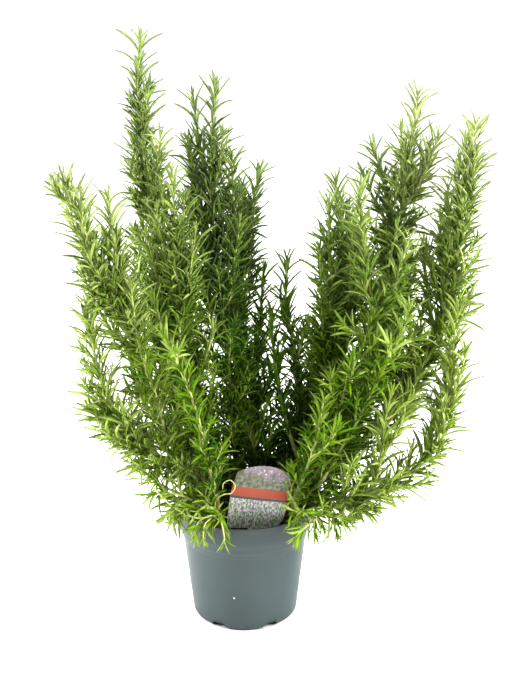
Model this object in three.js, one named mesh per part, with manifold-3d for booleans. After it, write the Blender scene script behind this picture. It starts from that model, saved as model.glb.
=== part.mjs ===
// Potted rosemary plant: a 15 cm nursery pot of soil, a plant label and woody crowns with
// leafy stems. Millimetres, +Z up. The origin is on the pot's axis at the surface that the pot
// stands on, and -Y is the front, where the label faces.
import * as THREE from 'three';
import { mergeVertices } from 'three/addons/utils/BufferGeometryUtils.js';
import Module from 'manifold-3d';

// ---- Driving dimensions ----

const GAP = 0.3; // clearance between neighbouring pieces

const POT_SIDES = 30;
const SOIL_SIDES = 15; // half of the pot's, so that its corners meet the pot's corners
const POT_HEIGHT = 131;
const RIM_RADIUS = 75;
const RIM_BOTTOM = 112; // underside of the straight rim band
const SHOULDER_RADIUS = 67.6;
const SHOULDER_HEIGHT = 92; // where the tapered body meets the step out to the rim
const BODY_BOTTOM_RADIUS = 57.2;
const BODY_BOTTOM = 5;
const FOOT_RADIUS = 52;
const FOOT_INNER_RADIUS = 47;
const WALL = 1.6;
const FLOOR_UNDERSIDE = 6;
const FLOOR_TOP = 8.2;
const PAD_RADIUS = 12; // flat pad in the middle of the underside
const NOTCH_COUNT = 6;
const NOTCH_WIDTH = 17;
const NOTCH_HEIGHT = 6.4;
const DRAIN_RADIUS = 4;
const DRAIN_CIRCLE = 36;

const SOIL_TOP = 117;
const SOIL_EDGE_DROP = 3; // how much lower the soil lies at the wall
const SOIL_BUMP = 1.2;

const LABEL_CENTRE = [15, -42, 153]; // middle of the label's band
const LABEL_LEAN = 0.14; // radians, top away from the front
const LABEL_TILT = 0.105; // radians, clockwise seen from the front
const LABEL_THICKNESS = 0.8;
const LABEL_STAKE_WIDTH = 12;
const LABEL_STAKE_BOTTOM = -92;

const CROWN_BOTTOM = 92; // the crowns' rooted ends, in the soil
const CROWN_TOP = 128;
const CROWN_RADIUS = 4.4;
const LIMB_RADIUS = 2.6;
const CROWN_SIDES = 5;
const LIMB_SIDES = 4;
const LIMB_STEP = 36; // spacing of a limb's rings

const STEM_RADIUS = 2.4; // at the woody end of a leafy stem
const SHOOT_RADIUS = 1.9;
const STEM_TIP_RADIUS = 1.3;
const STEM_SIDES = 4;
const STEM_STEP = 47; // spacing of a stem's rings

const NEEDLE_LENGTH = 27;
const NEEDLE_TIP_LENGTH = 19; // at the growing tips
const NEEDLE_WIDTH = 3;
const NEEDLE_DEPTH = 1.6; // rise of the arched upper side over the keel
const NEEDLE_WIDEST = 0.4; // place of the widest part, as a share of the length
const NEEDLE_SINK = 0.3; // how far a root lies beyond the stem's axis, as a share of its radius
const NEEDLE_LOW_ANGLE = 62; // degrees off the stem, old leaves
const NEEDLE_TIP_ANGLE = 24; // degrees off the stem, young leaves
const TIP_ZONE = 70; // length over which leaves open out from the tip
const PAIR_PLACES = [0.25, 0.75]; // leaf pairs in each ring step of a stem
const TIP_PAIR_PLACES = [0.3, 0.88]; // the same in the last step, up to the tip
const NEEDLE_CLEARANCE = 0.45;
const NEEDLE_TRIES = 9;
const BARE_START = 12; // leafless length at the woody end of a stem
const FIRST_SEED = 7; // each stem draws its own repeatable random numbers

// Crowns: where each woody base stands in the soil, x and y.
const CROWNS = {
  wood_left: [-34, -12],
  wood_left_back: [-28, 14],
  wood_middle: [-3, 28],
  wood_middle_right: [28, 24],
  wood_right_back: [50, 8],
  wood_right: [40, -16],
  wood_right_front: [46, -32],
  wood_front_left: [-28, -42],
  wood_back: [8, 52],
};

// Leafy stems: the crown each grows from, the points it passes through from its woody end to
// its tip, and its side shoots as [place on the stem from 0 to 1, tip x, tip y, tip z].
const STEMS = {
  stem_left_outer: {
    crown: 'wood_left',
    points: [[-82, -28, 205], [-90, -38, 260], [-108, -50, 325], [-128, -56, 375],
      [-147, -60, 410], [-161, -62, 455], [-169, -60, 500]],
    shoots: [[0.4, -134, -28, 479], [0.24, -122, -70, 363]],
  },
  stem_left_low: {
    crown: 'wood_left',
    points: [[-86, -42, 198], [-112, -54, 226], [-132, -60, 256], [-146, -60, 292],
      [-154, -60, 330], [-155, -60, 360]],
    shoots: [[0.1, -172, -18, 231], [0.05, -152, -84, 217], [0.3, -116, -78, 279]],
  },
  stem_left_tall: {
    crown: 'wood_left_back',
    points: [[-40, 18, 150], [-56, 14, 215], [-66, 12, 275], [-86, 18, 370], [-99, 26, 470],
      [-106, 30, 555], [-106, 30, 625]],
    shoots: [[0.62, -86, 0, 539], [0.6, -124, 30, 499], [0.38, -122, 58, 431]],
  },
  stem_left_inner: {
    crown: 'wood_left_back',
    points: [[-34, -2, 152], [-48, -8, 195], [-59, -12, 255], [-66, -15, 315], [-66, -16, 385],
      [-70, -14, 450], [-72, -12, 502]],
    shoots: [[0.35, -30, -30, 341]],
  },
  stem_middle_tall: {
    crown: 'wood_middle',
    points: [[-10, 16, 160], [-13, 12, 215], [-18, 16, 300], [-27, 24, 380], [-34, 34, 450],
      [-36, 38, 520], [-33, 41, 581]],
    shoots: [[0.7, -52, 54, 574], [0.5, -66, 62, 511], [0.7, -17, 24, 543]],
  },
  stem_middle_back: {
    crown: 'wood_middle',
    points: [[-4, 42, 160], [-8, 46, 215], [-8, 46, 305], [-5, 50, 380], [5, 54, 432],
      [17, 56, 488]],
    shoots: [[0.62, -2, 76, 467], [0.55, -12, 34, 507], [0.42, 16, 72, 405]],
  },
  stem_middle_right: {
    crown: 'wood_middle',
    points: [[10, 32, 162], [10, 38, 205], [12, 58, 262], [17, 68, 322], [21, 71, 374]],
    shoots: [[0.3, 34, 78, 267]],
  },
  stem_middle_low: {
    crown: 'wood_middle_right',
    points: [[16, 16, 146], [12, 8, 172], [8, 8, 204], [5, 12, 234]],
    shoots: [],
  },
  stem_centre: {
    crown: 'wood_middle_right',
    points: [[44, 34, 155], [58, 40, 215], [54, 46, 285], [45, 51, 345], [46, 53, 385]],
    shoots: [[0.45, 64, 34, 321]],
  },
  stem_centre_front: {
    crown: 'wood_middle_right',
    points: [[48, 10, 152], [52, 8, 182], [40, 18, 235], [31, 26, 295], [29, 29, 340]],
    shoots: [],
  },
  stem_centre_right: {
    crown: 'wood_middle_right',
    points: [[56, 44, 160], [72, 60, 220], [76, 68, 275], [69, 70, 311]],
    shoots: [],
  },
  stem_right_inner: {
    crown: 'wood_right_back',
    points: [[72, 14, 160], [88, 18, 210], [102, 22, 262], [111, 32, 340], [105, 37, 412],
      [96, 40, 480]],
    shoots: [[0.35, 84, 12, 444], [0.55, 114, 8, 446]],
  },
  stem_right_middle: {
    crown: 'wood_right_back',
    points: [[80, 30, 156], [122, 34, 215], [144, 40, 295], [155, 46, 360], [155, 52, 420],
      [150, 57, 470], [142, 61, 505]],
    shoots: [[0.62, 134, 72, 429]],
  },
  stem_right_tall: {
    crown: 'wood_right_back',
    points: [[84, 46, 160], [128, 68, 240], [154, 80, 320], [166, 66, 400], [168, 44, 455],
      [173, 36, 508], [178, 39, 566]],
    shoots: [[0.64, 166, 62, 528], [0.64, 201, 28, 529]],
  },
  stem_right_outer: {
    crown: 'wood_right',
    points: [[84, -6, 156], [138, -6, 215], [176, -4, 268], [205, 0, 326], [220, 5, 372],
      [226, 6, 425], [231, 10, 482], [234, 10, 541]],
    shoots: [[0.6, 219, 24, 478], [0.48, 208, 40, 441], [0.6, 246, -22, 419],
      [0.5, 246, -26, 377]],
  },
  stem_right_front: {
    crown: 'wood_right',
    points: [[74, -26, 160], [97, -36, 240], [110, -36, 286], [129, -28, 332], [135, -22, 358],
      [127, -14, 405], [120, -8, 460], [120, -4, 486]],
    shoots: [[0.5, 171, -12, 432], [0.27, 113, -56, 303]],
  },
  stem_right_centre: {
    crown: 'wood_right_front',
    points: [[84, -42, 174], [118, -44, 240], [142, -46, 295], [157, -42, 325], [168, -42, 352],
      [170, -42, 368]],
    shoots: [[0.5, 150, -74, 339]],
  },
  stem_right_low: {
    crown: 'wood_right_front',
    points: [[90, -22, 141], [118, -28, 147], [150, -34, 160], [185, -34, 195], [208, -32, 240],
      [217, -28, 280], [222, -26, 325], [226, -25, 355]],
    shoots: [[0.42, 204, -8, 276], [0.36, 192, -54, 236]],
  },
  stem_right_lowest: {
    crown: 'wood_right_front',
    points: [[92, -42, 143], [114, -46, 150], [136, -48, 170], [146, -52, 212], [148, -54, 248],
      [153, -53, 276]],
    shoots: [[0.7, 192, -46, 257], [0.3, 162, -66, 190], [0.06, 166, -66, 152]],
  },
  stem_front_right: {
    crown: 'wood_right_front',
    points: [[52, -46, 150], [64, -51, 184], [76, -56, 228], [83, -58, 271]],
    shoots: [[0.5, 98, -78, 249]],
  },
  stem_rim_right: {
    crown: 'wood_right_front',
    points: [[76, -54, 140], [94, -64, 143], [110, -70, 138], [114, -71, 136]],
    shoots: [],
  },
  stem_rim_front_right: {
    crown: 'wood_right_front',
    points: [[62, -52, 138], [72, -64, 143], [81, -74, 139], [83, -76, 137]],
    shoots: [],
  },
  stem_front_left: {
    crown: 'wood_front_left',
    points: [[-30, -50, 162], [-40, -60, 214], [-47, -67, 256], [-58, -73, 295],
      [-70, -77, 335], [-76, -78, 356]],
    shoots: [[0.7, -54, -96, 343]],
  },
  stem_rim_left: {
    crown: 'wood_front_left',
    points: [[-38, -50, 143], [-50, -60, 156], [-68, -68, 168], [-79, -71, 172]],
    shoots: [],
  },
  stem_rim_front_left: {
    crown: 'wood_front_left',
    points: [[-26, -56, 139], [-30, -70, 146], [-38, -82, 144], [-40, -85, 140]],
    shoots: [],
  },
  stem_rim_far_left: {
    crown: 'wood_left',
    points: [[-58, -34, 142], [-72, -48, 152], [-90, -56, 170], [-100, -59, 181]],
    shoots: [],
  },
  stem_back_left: {
    crown: 'wood_back',
    points: [[-28, 66, 155], [-58, 94, 225], [-70, 112, 300], [-70, 119, 380]],
    shoots: [[0.5, -100, 124, 351]],
  },
  stem_back_middle: {
    crown: 'wood_back',
    points: [[6, 72, 152], [0, 98, 215], [-6, 114, 280], [-8, 119, 340]],
    shoots: [[0.4, 30, 120, 301]],
  },
  stem_back_right: {
    crown: 'wood_back',
    points: [[44, 66, 155], [80, 96, 225], [102, 112, 300], [107, 119, 392]],
    shoots: [[0.5, 140, 122, 371]],
  },
  stem_back_far_left: {
    crown: 'wood_left_back',
    points: [[-56, 44, 148], [-92, 68, 196], [-120, 80, 250], [-128, 85, 306]],
    shoots: [],
  },
  stem_back_far_right: {
    crown: 'wood_back',
    points: [[66, 56, 146], [118, 78, 186], [160, 92, 240], [175, 97, 304]],
    shoots: [],
  },
};

// ---- Solids ----

const wasm = await Module();
wasm.setup();

// Turns a closed geometry into a solid, leaving out faces that closed up to nothing.
function toSolid(geometry) {
  const bare = geometry.clone();
  bare.deleteAttribute('normal');
  bare.deleteAttribute('uv');
  const merged = mergeVertices(bare, 1e-4);
  const index = merged.index.array;
  const faces = [];
  for (let i = 0; i < index.length; i += 3) {
    const [a, b, c] = [index[i], index[i + 1], index[i + 2]];
    if (a !== b && b !== c && c !== a) {
      faces.push(a, b, c);
    }
  }
  return new wasm.Manifold(new wasm.Mesh({
    numProp: 3,
    vertProperties: new Float32Array(merged.attributes.position.array),
    triVerts: new Uint32Array(faces),
  }));
}

function toGeometry(solid) {
  const mesh = solid.getMesh();
  const geometry = new THREE.BufferGeometry();
  geometry.setAttribute('position', new THREE.BufferAttribute(mesh.vertProperties, 3));
  geometry.setIndex(new THREE.BufferAttribute(mesh.triVerts, 1));
  geometry.computeVertexNormals();
  return geometry;
}

// Bends a unit cylinder along a curve; radiusAt gives its radius from 0 to 1 along the curve.
function taperedTube(curve, sides, steps, radiusAt) {
  const geometry = new THREE.CylinderGeometry(1, 1, 1, sides, steps);
  const frames = curve.computeFrenetFrames(steps, false);
  const position = geometry.attributes.position;
  const place = new THREE.Vector3();
  for (let i = 0; i < position.count; i += 1) {
    const along = THREE.MathUtils.clamp(position.getY(i) + 0.5, 0, 1);
    const step = Math.round(along * steps);
    const radius = radiusAt(along);
    curve.getPointAt(along, place);
    place.addScaledVector(frames.normals[step], position.getX(i) * radius);
    place.addScaledVector(frames.binormals[step], -position.getZ(i) * radius);
    position.setXYZ(i, place.x, place.y, place.z);
  }
  return geometry;
}

// An upright solid rod, for cutting round holes.
function rod(x, y, bottom, top, radius, sides) {
  const geometry = new THREE.CylinderGeometry(radius, radius, top - bottom, sides);
  geometry.rotateX(Math.PI / 2);
  geometry.translate(x, y, (bottom + top) / 2);
  return toSolid(geometry);
}

// Repeatable random numbers from 0 to 1.
function makeRandom(seed) {
  let state = seed;
  return () => {
    state = (Math.imul(state, 1664525) + 1013904223) >>> 0;
    return state / 4294967296;
  };
}

// ---- Pot ----

function turned(profile, sides) {
  const geometry = new THREE.LatheGeometry(
    profile.map(([radius, z]) => new THREE.Vector2(radius, z)), sides);
  geometry.rotateX(Math.PI / 2);
  return geometry;
}

// Radius of the pot's inner wall at a height above its floor.
function innerRadius(z) {
  const slope = (SHOULDER_RADIUS - BODY_BOTTOM_RADIUS) / (SHOULDER_HEIGHT - BODY_BOTTOM);
  if (z <= SHOULDER_HEIGHT) {
    return BODY_BOTTOM_RADIUS + slope * (z - BODY_BOTTOM) - WALL;
  }
  const share = Math.min((z - SHOULDER_HEIGHT) / (RIM_BOTTOM - SHOULDER_HEIGHT), 1);
  return THREE.MathUtils.lerp(SHOULDER_RADIUS, RIM_RADIUS, share) - WALL;
}

function makePot() {
  const profile = [
    [0, 0],
    [PAD_RADIUS, 0],
    [PAD_RADIUS + 2, FLOOR_UNDERSIDE],
    [FOOT_INNER_RADIUS - 1, FLOOR_UNDERSIDE],
    [FOOT_INNER_RADIUS, 0],
    [FOOT_RADIUS, 0],
    [55.4, 1.6],
    [BODY_BOTTOM_RADIUS, BODY_BOTTOM],
    [SHOULDER_RADIUS, SHOULDER_HEIGHT],
    [RIM_RADIUS, RIM_BOTTOM],
    [RIM_RADIUS, POT_HEIGHT],
    [RIM_RADIUS - WALL, POT_HEIGHT],
    [innerRadius(RIM_BOTTOM), RIM_BOTTOM],
    [innerRadius(SHOULDER_HEIGHT), SHOULDER_HEIGHT],
    [innerRadius(FLOOR_TOP), FLOOR_TOP],
    [0, FLOOR_TOP],
  ];
  let pot = toSolid(turned(profile, POT_SIDES));
  for (let i = 0; i < NOTCH_COUNT; i += 1) {
    const angle = i * 2 * Math.PI / NOTCH_COUNT;
    const notch = new THREE.BoxGeometry(20, NOTCH_WIDTH, 2 * NOTCH_HEIGHT);
    notch.translate(FOOT_RADIUS, 0, 0);
    notch.rotateZ(angle);
    pot = pot.subtract(toSolid(notch));
    const drainX = DRAIN_CIRCLE * Math.cos(angle);
    const drainY = DRAIN_CIRCLE * Math.sin(angle);
    pot = pot.subtract(rod(drainX, drainY, -1, FLOOR_TOP + 1, DRAIN_RADIUS, 8));
  }
  return toGeometry(pot);
}

// ---- Soil ----

// A crown's upright trunk, also used wider and deeper as the hole that it stands in.
function trunkGeometry(name, bottom, radius) {
  const [x, y] = CROWNS[name];
  const line = new THREE.LineCurve3(
    new THREE.Vector3(x, y, bottom), new THREE.Vector3(x, y, CROWN_TOP));
  return taperedTube(line, CROWN_SIDES, 1, () => radius);
}

function soilHeight(x, y) {
  const edge = Math.hypot(x, y) / RIM_RADIUS;
  const bump = Math.sin(x * 0.31 + 1.3) * Math.cos(y * 0.27 + 0.4);
  return SOIL_TOP - SOIL_EDGE_DROP * edge * edge + SOIL_BUMP * bump;
}

function makeSoil() {
  const lowEdge = RIM_BOTTOM - 2;
  const profile = [
    [0, FLOOR_TOP + GAP],
    [innerRadius(FLOOR_TOP) - GAP, FLOOR_TOP + GAP],
    [innerRadius(SHOULDER_HEIGHT) - GAP, SHOULDER_HEIGHT + GAP],
    [innerRadius(lowEdge) - 2 * GAP, lowEdge],
    [innerRadius(RIM_BOTTOM) - 2 * GAP, SOIL_TOP],
    [48, SOIL_TOP],
    [24, SOIL_TOP],
    [0, SOIL_TOP],
  ];
  const geometry = turned(profile, SOIL_SIDES);
  const position = geometry.attributes.position;
  for (let i = 0; i < position.count; i += 1) {
    if (position.getZ(i) > SOIL_TOP - 0.1) {
      position.setZ(i, soilHeight(position.getX(i), position.getY(i)));
    }
  }
  let soil = toSolid(geometry);
  for (const name of Object.keys(CROWNS)) {
    soil = soil.subtract(toSolid(trunkGeometry(name, CROWN_BOTTOM - 1, CROWN_RADIUS + 2 * GAP)));
  }
  const slotWidth = LABEL_STAKE_WIDTH + 2 * GAP;
  const slot = new THREE.BoxGeometry(slotWidth, LABEL_THICKNESS + 2 * GAP, 80);
  slot.translate(0, 0, LABEL_STAKE_BOTTOM - 1 + 40);
  placeLabel(slot);
  return toGeometry(soil.subtract(toSolid(slot)));
}

// ---- Label ----

function placeLabel(geometry) {
  geometry.rotateY(LABEL_TILT);
  geometry.rotateX(-LABEL_LEAN);
  geometry.translate(...LABEL_CENTRE);
}

// The label's outline, upright, measured from the middle of its band.
function makeLabel() {
  const halfStake = LABEL_STAKE_WIDTH / 2;
  const outline = new THREE.Shape();
  outline.moveTo(-halfStake, LABEL_STAKE_BOTTOM + 8);
  outline.lineTo(-halfStake, -35);
  outline.lineTo(-22, -32);
  outline.quadraticCurveTo(-29, -29, -30, -16);
  outline.lineTo(-30, 2);
  outline.lineTo(-25, 25);
  outline.quadraticCurveTo(2, 42, 32, 26);
  outline.lineTo(31, 2);
  outline.quadraticCurveTo(31, -24, 17, -32);
  outline.lineTo(halfStake, -35);
  outline.lineTo(halfStake, LABEL_STAKE_BOTTOM + 8);
  outline.lineTo(0, LABEL_STAKE_BOTTOM);
  const geometry = new THREE.ExtrudeGeometry(outline, {
    depth: LABEL_THICKNESS, bevelEnabled: false, curveSegments: 5,
  });
  geometry.translate(0, 0, -LABEL_THICKNESS / 2);
  geometry.rotateX(Math.PI / 2);
  placeLabel(geometry);
  return toGeometry(toSolid(geometry));
}

// ---- Stems ----

const toVector = (point) => new THREE.Vector3(...point);

function stemCurve(stem) {
  return new THREE.CatmullRomCurve3(stem.points.map(toVector), false, 'catmullrom', 0.5);
}

// A side shoot leaves its stem along a slant and then turns up to its tip.
function shootCurve(curve, [place, ...tip]) {
  const start = curve.getPoint(place);
  const end = toVector(tip);
  const control = new THREE.Vector3(
    THREE.MathUtils.lerp(start.x, end.x, 0.6),
    THREE.MathUtils.lerp(start.y, end.y, 0.6),
    THREE.MathUtils.lerp(start.z, end.z, 0.35));
  return new THREE.QuadraticBezierCurve3(start, control, end);
}

// A crown's limb rises clear of the pot's rim and runs on into its leafy stem.
function limbCurve(crown, curve) {
  const [x, y] = CROWNS[crown];
  const direction = curve.getTangent(0);
  const start = new THREE.Vector3(x, y, CROWN_TOP - 5);
  const end = curve.getPoint(0).addScaledVector(direction, -GAP - 0.2);
  const reach = start.distanceTo(end);
  return new THREE.CubicBezierCurve3(
    start,
    start.clone().add(new THREE.Vector3(0, 0, 0.6 * reach)),
    end.clone().addScaledVector(direction, -0.4 * reach),
    end);
}

const ringSteps = (curve) => Math.max(2, Math.round(curve.getLength() / STEM_STEP));

const taper = (from, to) => (along) => THREE.MathUtils.lerp(from, to, along);

// ---- Clearances ----

// Shortest distance between the segments a-b and c-d.
function segmentDistance(a, b, c, d) {
  const u = b.clone().sub(a);
  const v = d.clone().sub(c);
  const w = a.clone().sub(c);
  const uu = u.dot(u);
  const uv = u.dot(v);
  const vv = v.dot(v);
  const uw = u.dot(w);
  const vw = v.dot(w);
  const denominator = Math.max(uu * vv - uv * uv, 1e-9);
  let s = THREE.MathUtils.clamp((uv * vw - vv * uw) / denominator, 0, 1);
  const t = THREE.MathUtils.clamp((uv * s + vw) / vv, 0, 1);
  s = THREE.MathUtils.clamp((uv * t - uw) / uu, 0, 1);
  return a.clone().addScaledVector(u, s).distanceTo(c.clone().addScaledVector(v, t));
}

const taken = []; // every piece of stem or needle placed so far

function take(owner, from, to, radius) {
  const middle = from.clone().lerp(to, 0.5);
  taken.push({ owner, from, to, radius, middle, reach: from.distanceTo(to) / 2 });
}

function takeCurve(owner, curve, radiusAt) {
  const pieces = Math.max(3, Math.round(curve.getLength() / 12));
  const points = curve.getSpacedPoints(pieces);
  for (let i = 0; i < pieces; i += 1) {
    take(owner, points[i], points[i + 1], radiusAt(i / pieces));
  }
}

function insideLabelZone(point) {
  const local = point.clone().sub(toVector(LABEL_CENTRE));
  local.applyAxisAngle(new THREE.Vector3(1, 0, 0), LABEL_LEAN);
  local.applyAxisAngle(new THREE.Vector3(0, 1, 0), -LABEL_TILT);
  return Math.abs(local.y) < 2.2 && Math.abs(local.x) < 35 && local.z < 38;
}

function insidePotZone(point) {
  const radius = Math.hypot(point.x, point.y);
  if (point.z > POT_HEIGHT + 2 || radius > RIM_RADIUS + 2) {
    return false;
  }
  return radius > RIM_RADIUS - WALL - 2 || point.z < soilHeight(point.x, point.y) + 2;
}

// True where a needle from root over middle to tip stands clear of everything else.
function isClear(owner, root, neck, middle, tip) {
  const samples = [0.2, 0.6, 1].flatMap((share) => [
    neck.clone().lerp(middle, share), middle.clone().lerp(tip, share)]);
  if (samples.some((point) => insidePotZone(point) || insideLabelZone(point))) {
    return false;
  }
  const halfWidth = NEEDLE_WIDTH / 2;
  for (const piece of taken) {
    const near = piece.reach + NEEDLE_LENGTH;
    if (piece.middle.distanceTo(middle) > near) {
      continue;
    }
    const isOwn = piece.owner === owner;
    const space = piece.radius + halfWidth + NEEDLE_CLEARANCE;
    if (isOwn && segmentDistance(root, neck, piece.from, piece.to) < space) {
      if (segmentDistance(middle, tip, piece.from, piece.to) < space) {
        return false;
      }
      continue;
    }
    if (segmentDistance(neck, middle, piece.from, piece.to) < space
        || segmentDistance(middle, tip, piece.from, piece.to) < space) {
      return false;
    }
  }
  return true;
}

// ---- Needles ----

// A needle: arched above between its two edges and keeled below, pointed at both ends.
function needleSolid(root, leftEdge, rightEdge, tip) {
  const geometry = new THREE.BufferGeometry().setFromPoints([root, leftEdge, rightEdge, tip]);
  geometry.setIndex([0, 2, 1, 3, 1, 2, 0, 1, 3, 0, 3, 2]);
  return toSolid(geometry);
}

// Leaf pairs along one curve, each pair turned a quarter from the last. A pair grows from two
// opposite flat sides of the stem.
function* leafPairs(curve, steps) {
  const length = curve.getLength();
  let quarter = 0.5;
  for (let i = 0; i < steps; i += 1) {
    for (const place of i === steps - 1 ? TIP_PAIR_PLACES : PAIR_PLACES) {
      const along = (i + place) / steps;
      const open = Math.min((1 - along) * length / TIP_ZONE, 1);
      quarter += 1;
      for (const opposite of [0, 2]) {
        const turn = (quarter + opposite) * Math.PI / 2;
        if (along * length > BARE_START) {
          yield { along, open, turn };
        }
      }
    }
  }
}

function placeNeedle(owner, branch, leaf, random) {
  const { rings, normals, steps, radiusAt } = branch;
  const { along, open, turn } = leaf;
  const step = Math.floor(along * steps);
  const blend = along * steps - step;
  const root = rings[step].clone().lerp(rings[step + 1], blend);
  const axis = rings[step + 1].clone().sub(rings[step]).normalize();
  const sideways = normals[step].clone().lerp(normals[step + 1], blend);
  sideways.addScaledVector(axis, -sideways.dot(axis)).normalize();
  const base = THREE.MathUtils.lerp(NEEDLE_TIP_ANGLE, NEEDLE_LOW_ANGLE, Math.sqrt(open));
  const length = THREE.MathUtils.lerp(NEEDLE_TIP_LENGTH, NEEDLE_LENGTH, open)
    * (0.9 + 0.2 * random());
  for (let attempt = 0; attempt < NEEDLE_TRIES; attempt += 1) {
    const spread = attempt / NEEDLE_TRIES;
    const sway = (random() - 0.5) * (0.3 + 2 * spread);
    const outward = sideways.clone().applyAxisAngle(axis, turn + sway);
    const angle = THREE.MathUtils.degToRad(base + (random() - 0.5) * (10 + 50 * spread));
    const direction = axis.clone().multiplyScalar(Math.cos(angle))
      .addScaledVector(outward, Math.sin(angle));
    const keel = outward.clone().multiplyScalar(Math.cos(angle))
      .addScaledVector(axis, -Math.sin(angle));
    const across = direction.clone().cross(keel);
    const middle = root.clone().addScaledVector(direction, NEEDLE_WIDEST * length)
      .addScaledVector(keel, -NEEDLE_DEPTH / 2);
    const tip = root.clone().addScaledVector(direction, length);
    const neck = root.clone().lerp(middle, 0.4);
    if (isClear(owner, root, neck, middle, tip)) {
      take(owner, neck, middle, NEEDLE_WIDTH / 2);
      take(owner, middle, tip, NEEDLE_WIDTH / 3);
      middle.addScaledVector(keel, -NEEDLE_DEPTH / 2);
      return needleSolid(
        root.addScaledVector(direction, -NEEDLE_SINK * radiusAt(along)),
        middle.clone().addScaledVector(across, NEEDLE_WIDTH / 2),
        middle.clone().addScaledVector(across, -NEEDLE_WIDTH / 2),
        tip);
    }
  }
  return null;
}

// ---- Assembly ----

const MATERIALS = {
  pot: { color: '#68777a', roughness: 0.45 },
  soil: { color: '#2b2019', roughness: 0.95 },
  label: { color: '#a9a6b4', roughness: 0.5 },
  wood: { color: '#8a7448', roughness: 0.85 },
  leaves: { color: '#5f7f2e', roughness: 0.55 },
};

const group = new THREE.Group();
group.name = 'potted_rosemary';

function addPiece(name, geometry, look) {
  const material = new THREE.MeshStandardMaterial({ ...MATERIALS[look], metalness: 0 });
  const mesh = new THREE.Mesh(geometry, material);
  mesh.name = name;
  group.add(mesh);
}

// All curves of the plant: each stem's own and its side shoots', and each crown's limbs.
function growSkeleton() {
  const stems = [];
  for (const [name, stem] of Object.entries(STEMS)) {
    const main = stemCurve(stem);
    const shoots = stem.shoots.map((shoot) => shootCurve(main, shoot));
    takeCurve(name, main, taper(STEM_RADIUS, STEM_TIP_RADIUS));
    shoots.forEach((shoot) => takeCurve(name, shoot, taper(SHOOT_RADIUS, STEM_TIP_RADIUS)));
    stems.push({ name, crown: stem.crown, main, shoots });
  }
  return stems;
}

function makeCrown(name, stems) {
  let crown = toSolid(trunkGeometry(name, CROWN_BOTTOM, CROWN_RADIUS));
  for (const stem of stems.filter((each) => each.crown === name)) {
    const limb = limbCurve(name, stem.main);
    takeCurve(name, limb, taper(LIMB_RADIUS + 0.4, STEM_RADIUS));
    const steps = Math.max(2, Math.round(limb.getLength() / LIMB_STEP));
    crown = crown.add(toSolid(
      taperedTube(limb, LIMB_SIDES, steps, taper(LIMB_RADIUS, STEM_RADIUS))));
  }
  return toGeometry(crown);
}

function makeLeafyStem(stem, seed) {
  const random = makeRandom(seed);
  const branches = [stem.main, ...stem.shoots].map((curve, i) => {
    const steps = ringSteps(curve);
    return {
      curve,
      steps,
      rings: curve.getSpacedPoints(steps),
      normals: curve.computeFrenetFrames(steps, false).normals,
      radiusAt: taper(i === 0 ? STEM_RADIUS : SHOOT_RADIUS, STEM_TIP_RADIUS),
    };
  });
  let solid = branches
    .map(({ curve, steps, radiusAt }) => toSolid(taperedTube(curve, STEM_SIDES, steps, radiusAt)))
    .reduce((all, core) => all.add(core));
  for (const branch of branches) {
    for (const leaf of leafPairs(branch.curve, branch.steps)) {
      const needle = placeNeedle(stem.name, branch, leaf, random);
      if (needle) {
        solid = solid.add(needle);
      }
    }
  }
  return toGeometry(solid);
}

addPiece('pot', makePot(), 'pot');
addPiece('soil', makeSoil(), 'soil');
addPiece('label', makeLabel(), 'label');
const stems = growSkeleton();
for (const name of Object.keys(CROWNS)) {
  addPiece(name, makeCrown(name, stems), 'wood');
}
stems.forEach((stem, i) => addPiece(stem.name, makeLeafyStem(stem, FIRST_SEED + i), 'leaves'));

export default group;
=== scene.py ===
"""Potted rosemary plant: the looks round its frame of pot, soil, label, crowns and leafy stems.

Sizes and places are in millimetres, +Z up and -Y to the front, until Surface.build makes metres.
"""

import math

import bpy
import bmesh
import numpy as np
from mathutils import Matrix, Vector, noise


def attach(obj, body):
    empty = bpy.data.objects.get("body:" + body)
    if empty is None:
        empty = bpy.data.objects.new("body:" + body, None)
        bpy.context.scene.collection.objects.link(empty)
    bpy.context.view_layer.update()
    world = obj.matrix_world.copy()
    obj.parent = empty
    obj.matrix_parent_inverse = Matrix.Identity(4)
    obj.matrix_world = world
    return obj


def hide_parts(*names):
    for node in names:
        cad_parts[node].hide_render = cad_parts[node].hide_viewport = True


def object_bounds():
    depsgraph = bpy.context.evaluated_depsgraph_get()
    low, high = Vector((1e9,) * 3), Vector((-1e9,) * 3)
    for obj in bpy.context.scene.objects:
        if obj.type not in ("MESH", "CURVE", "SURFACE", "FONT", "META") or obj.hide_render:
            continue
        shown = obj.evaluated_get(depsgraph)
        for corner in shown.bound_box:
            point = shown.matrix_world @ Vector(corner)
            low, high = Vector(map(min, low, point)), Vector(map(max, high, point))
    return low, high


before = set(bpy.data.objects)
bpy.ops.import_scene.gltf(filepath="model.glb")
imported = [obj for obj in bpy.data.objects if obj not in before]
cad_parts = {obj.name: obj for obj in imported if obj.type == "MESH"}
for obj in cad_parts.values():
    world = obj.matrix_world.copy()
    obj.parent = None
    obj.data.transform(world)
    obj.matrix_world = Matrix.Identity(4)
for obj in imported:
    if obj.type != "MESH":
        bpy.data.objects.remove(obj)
frame_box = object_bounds()

MM = 0.001
UP = np.array([0.0, 0.0, 1.0])
X, Y, Z = 0, 1, 2

# ---- Pot ----

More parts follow.
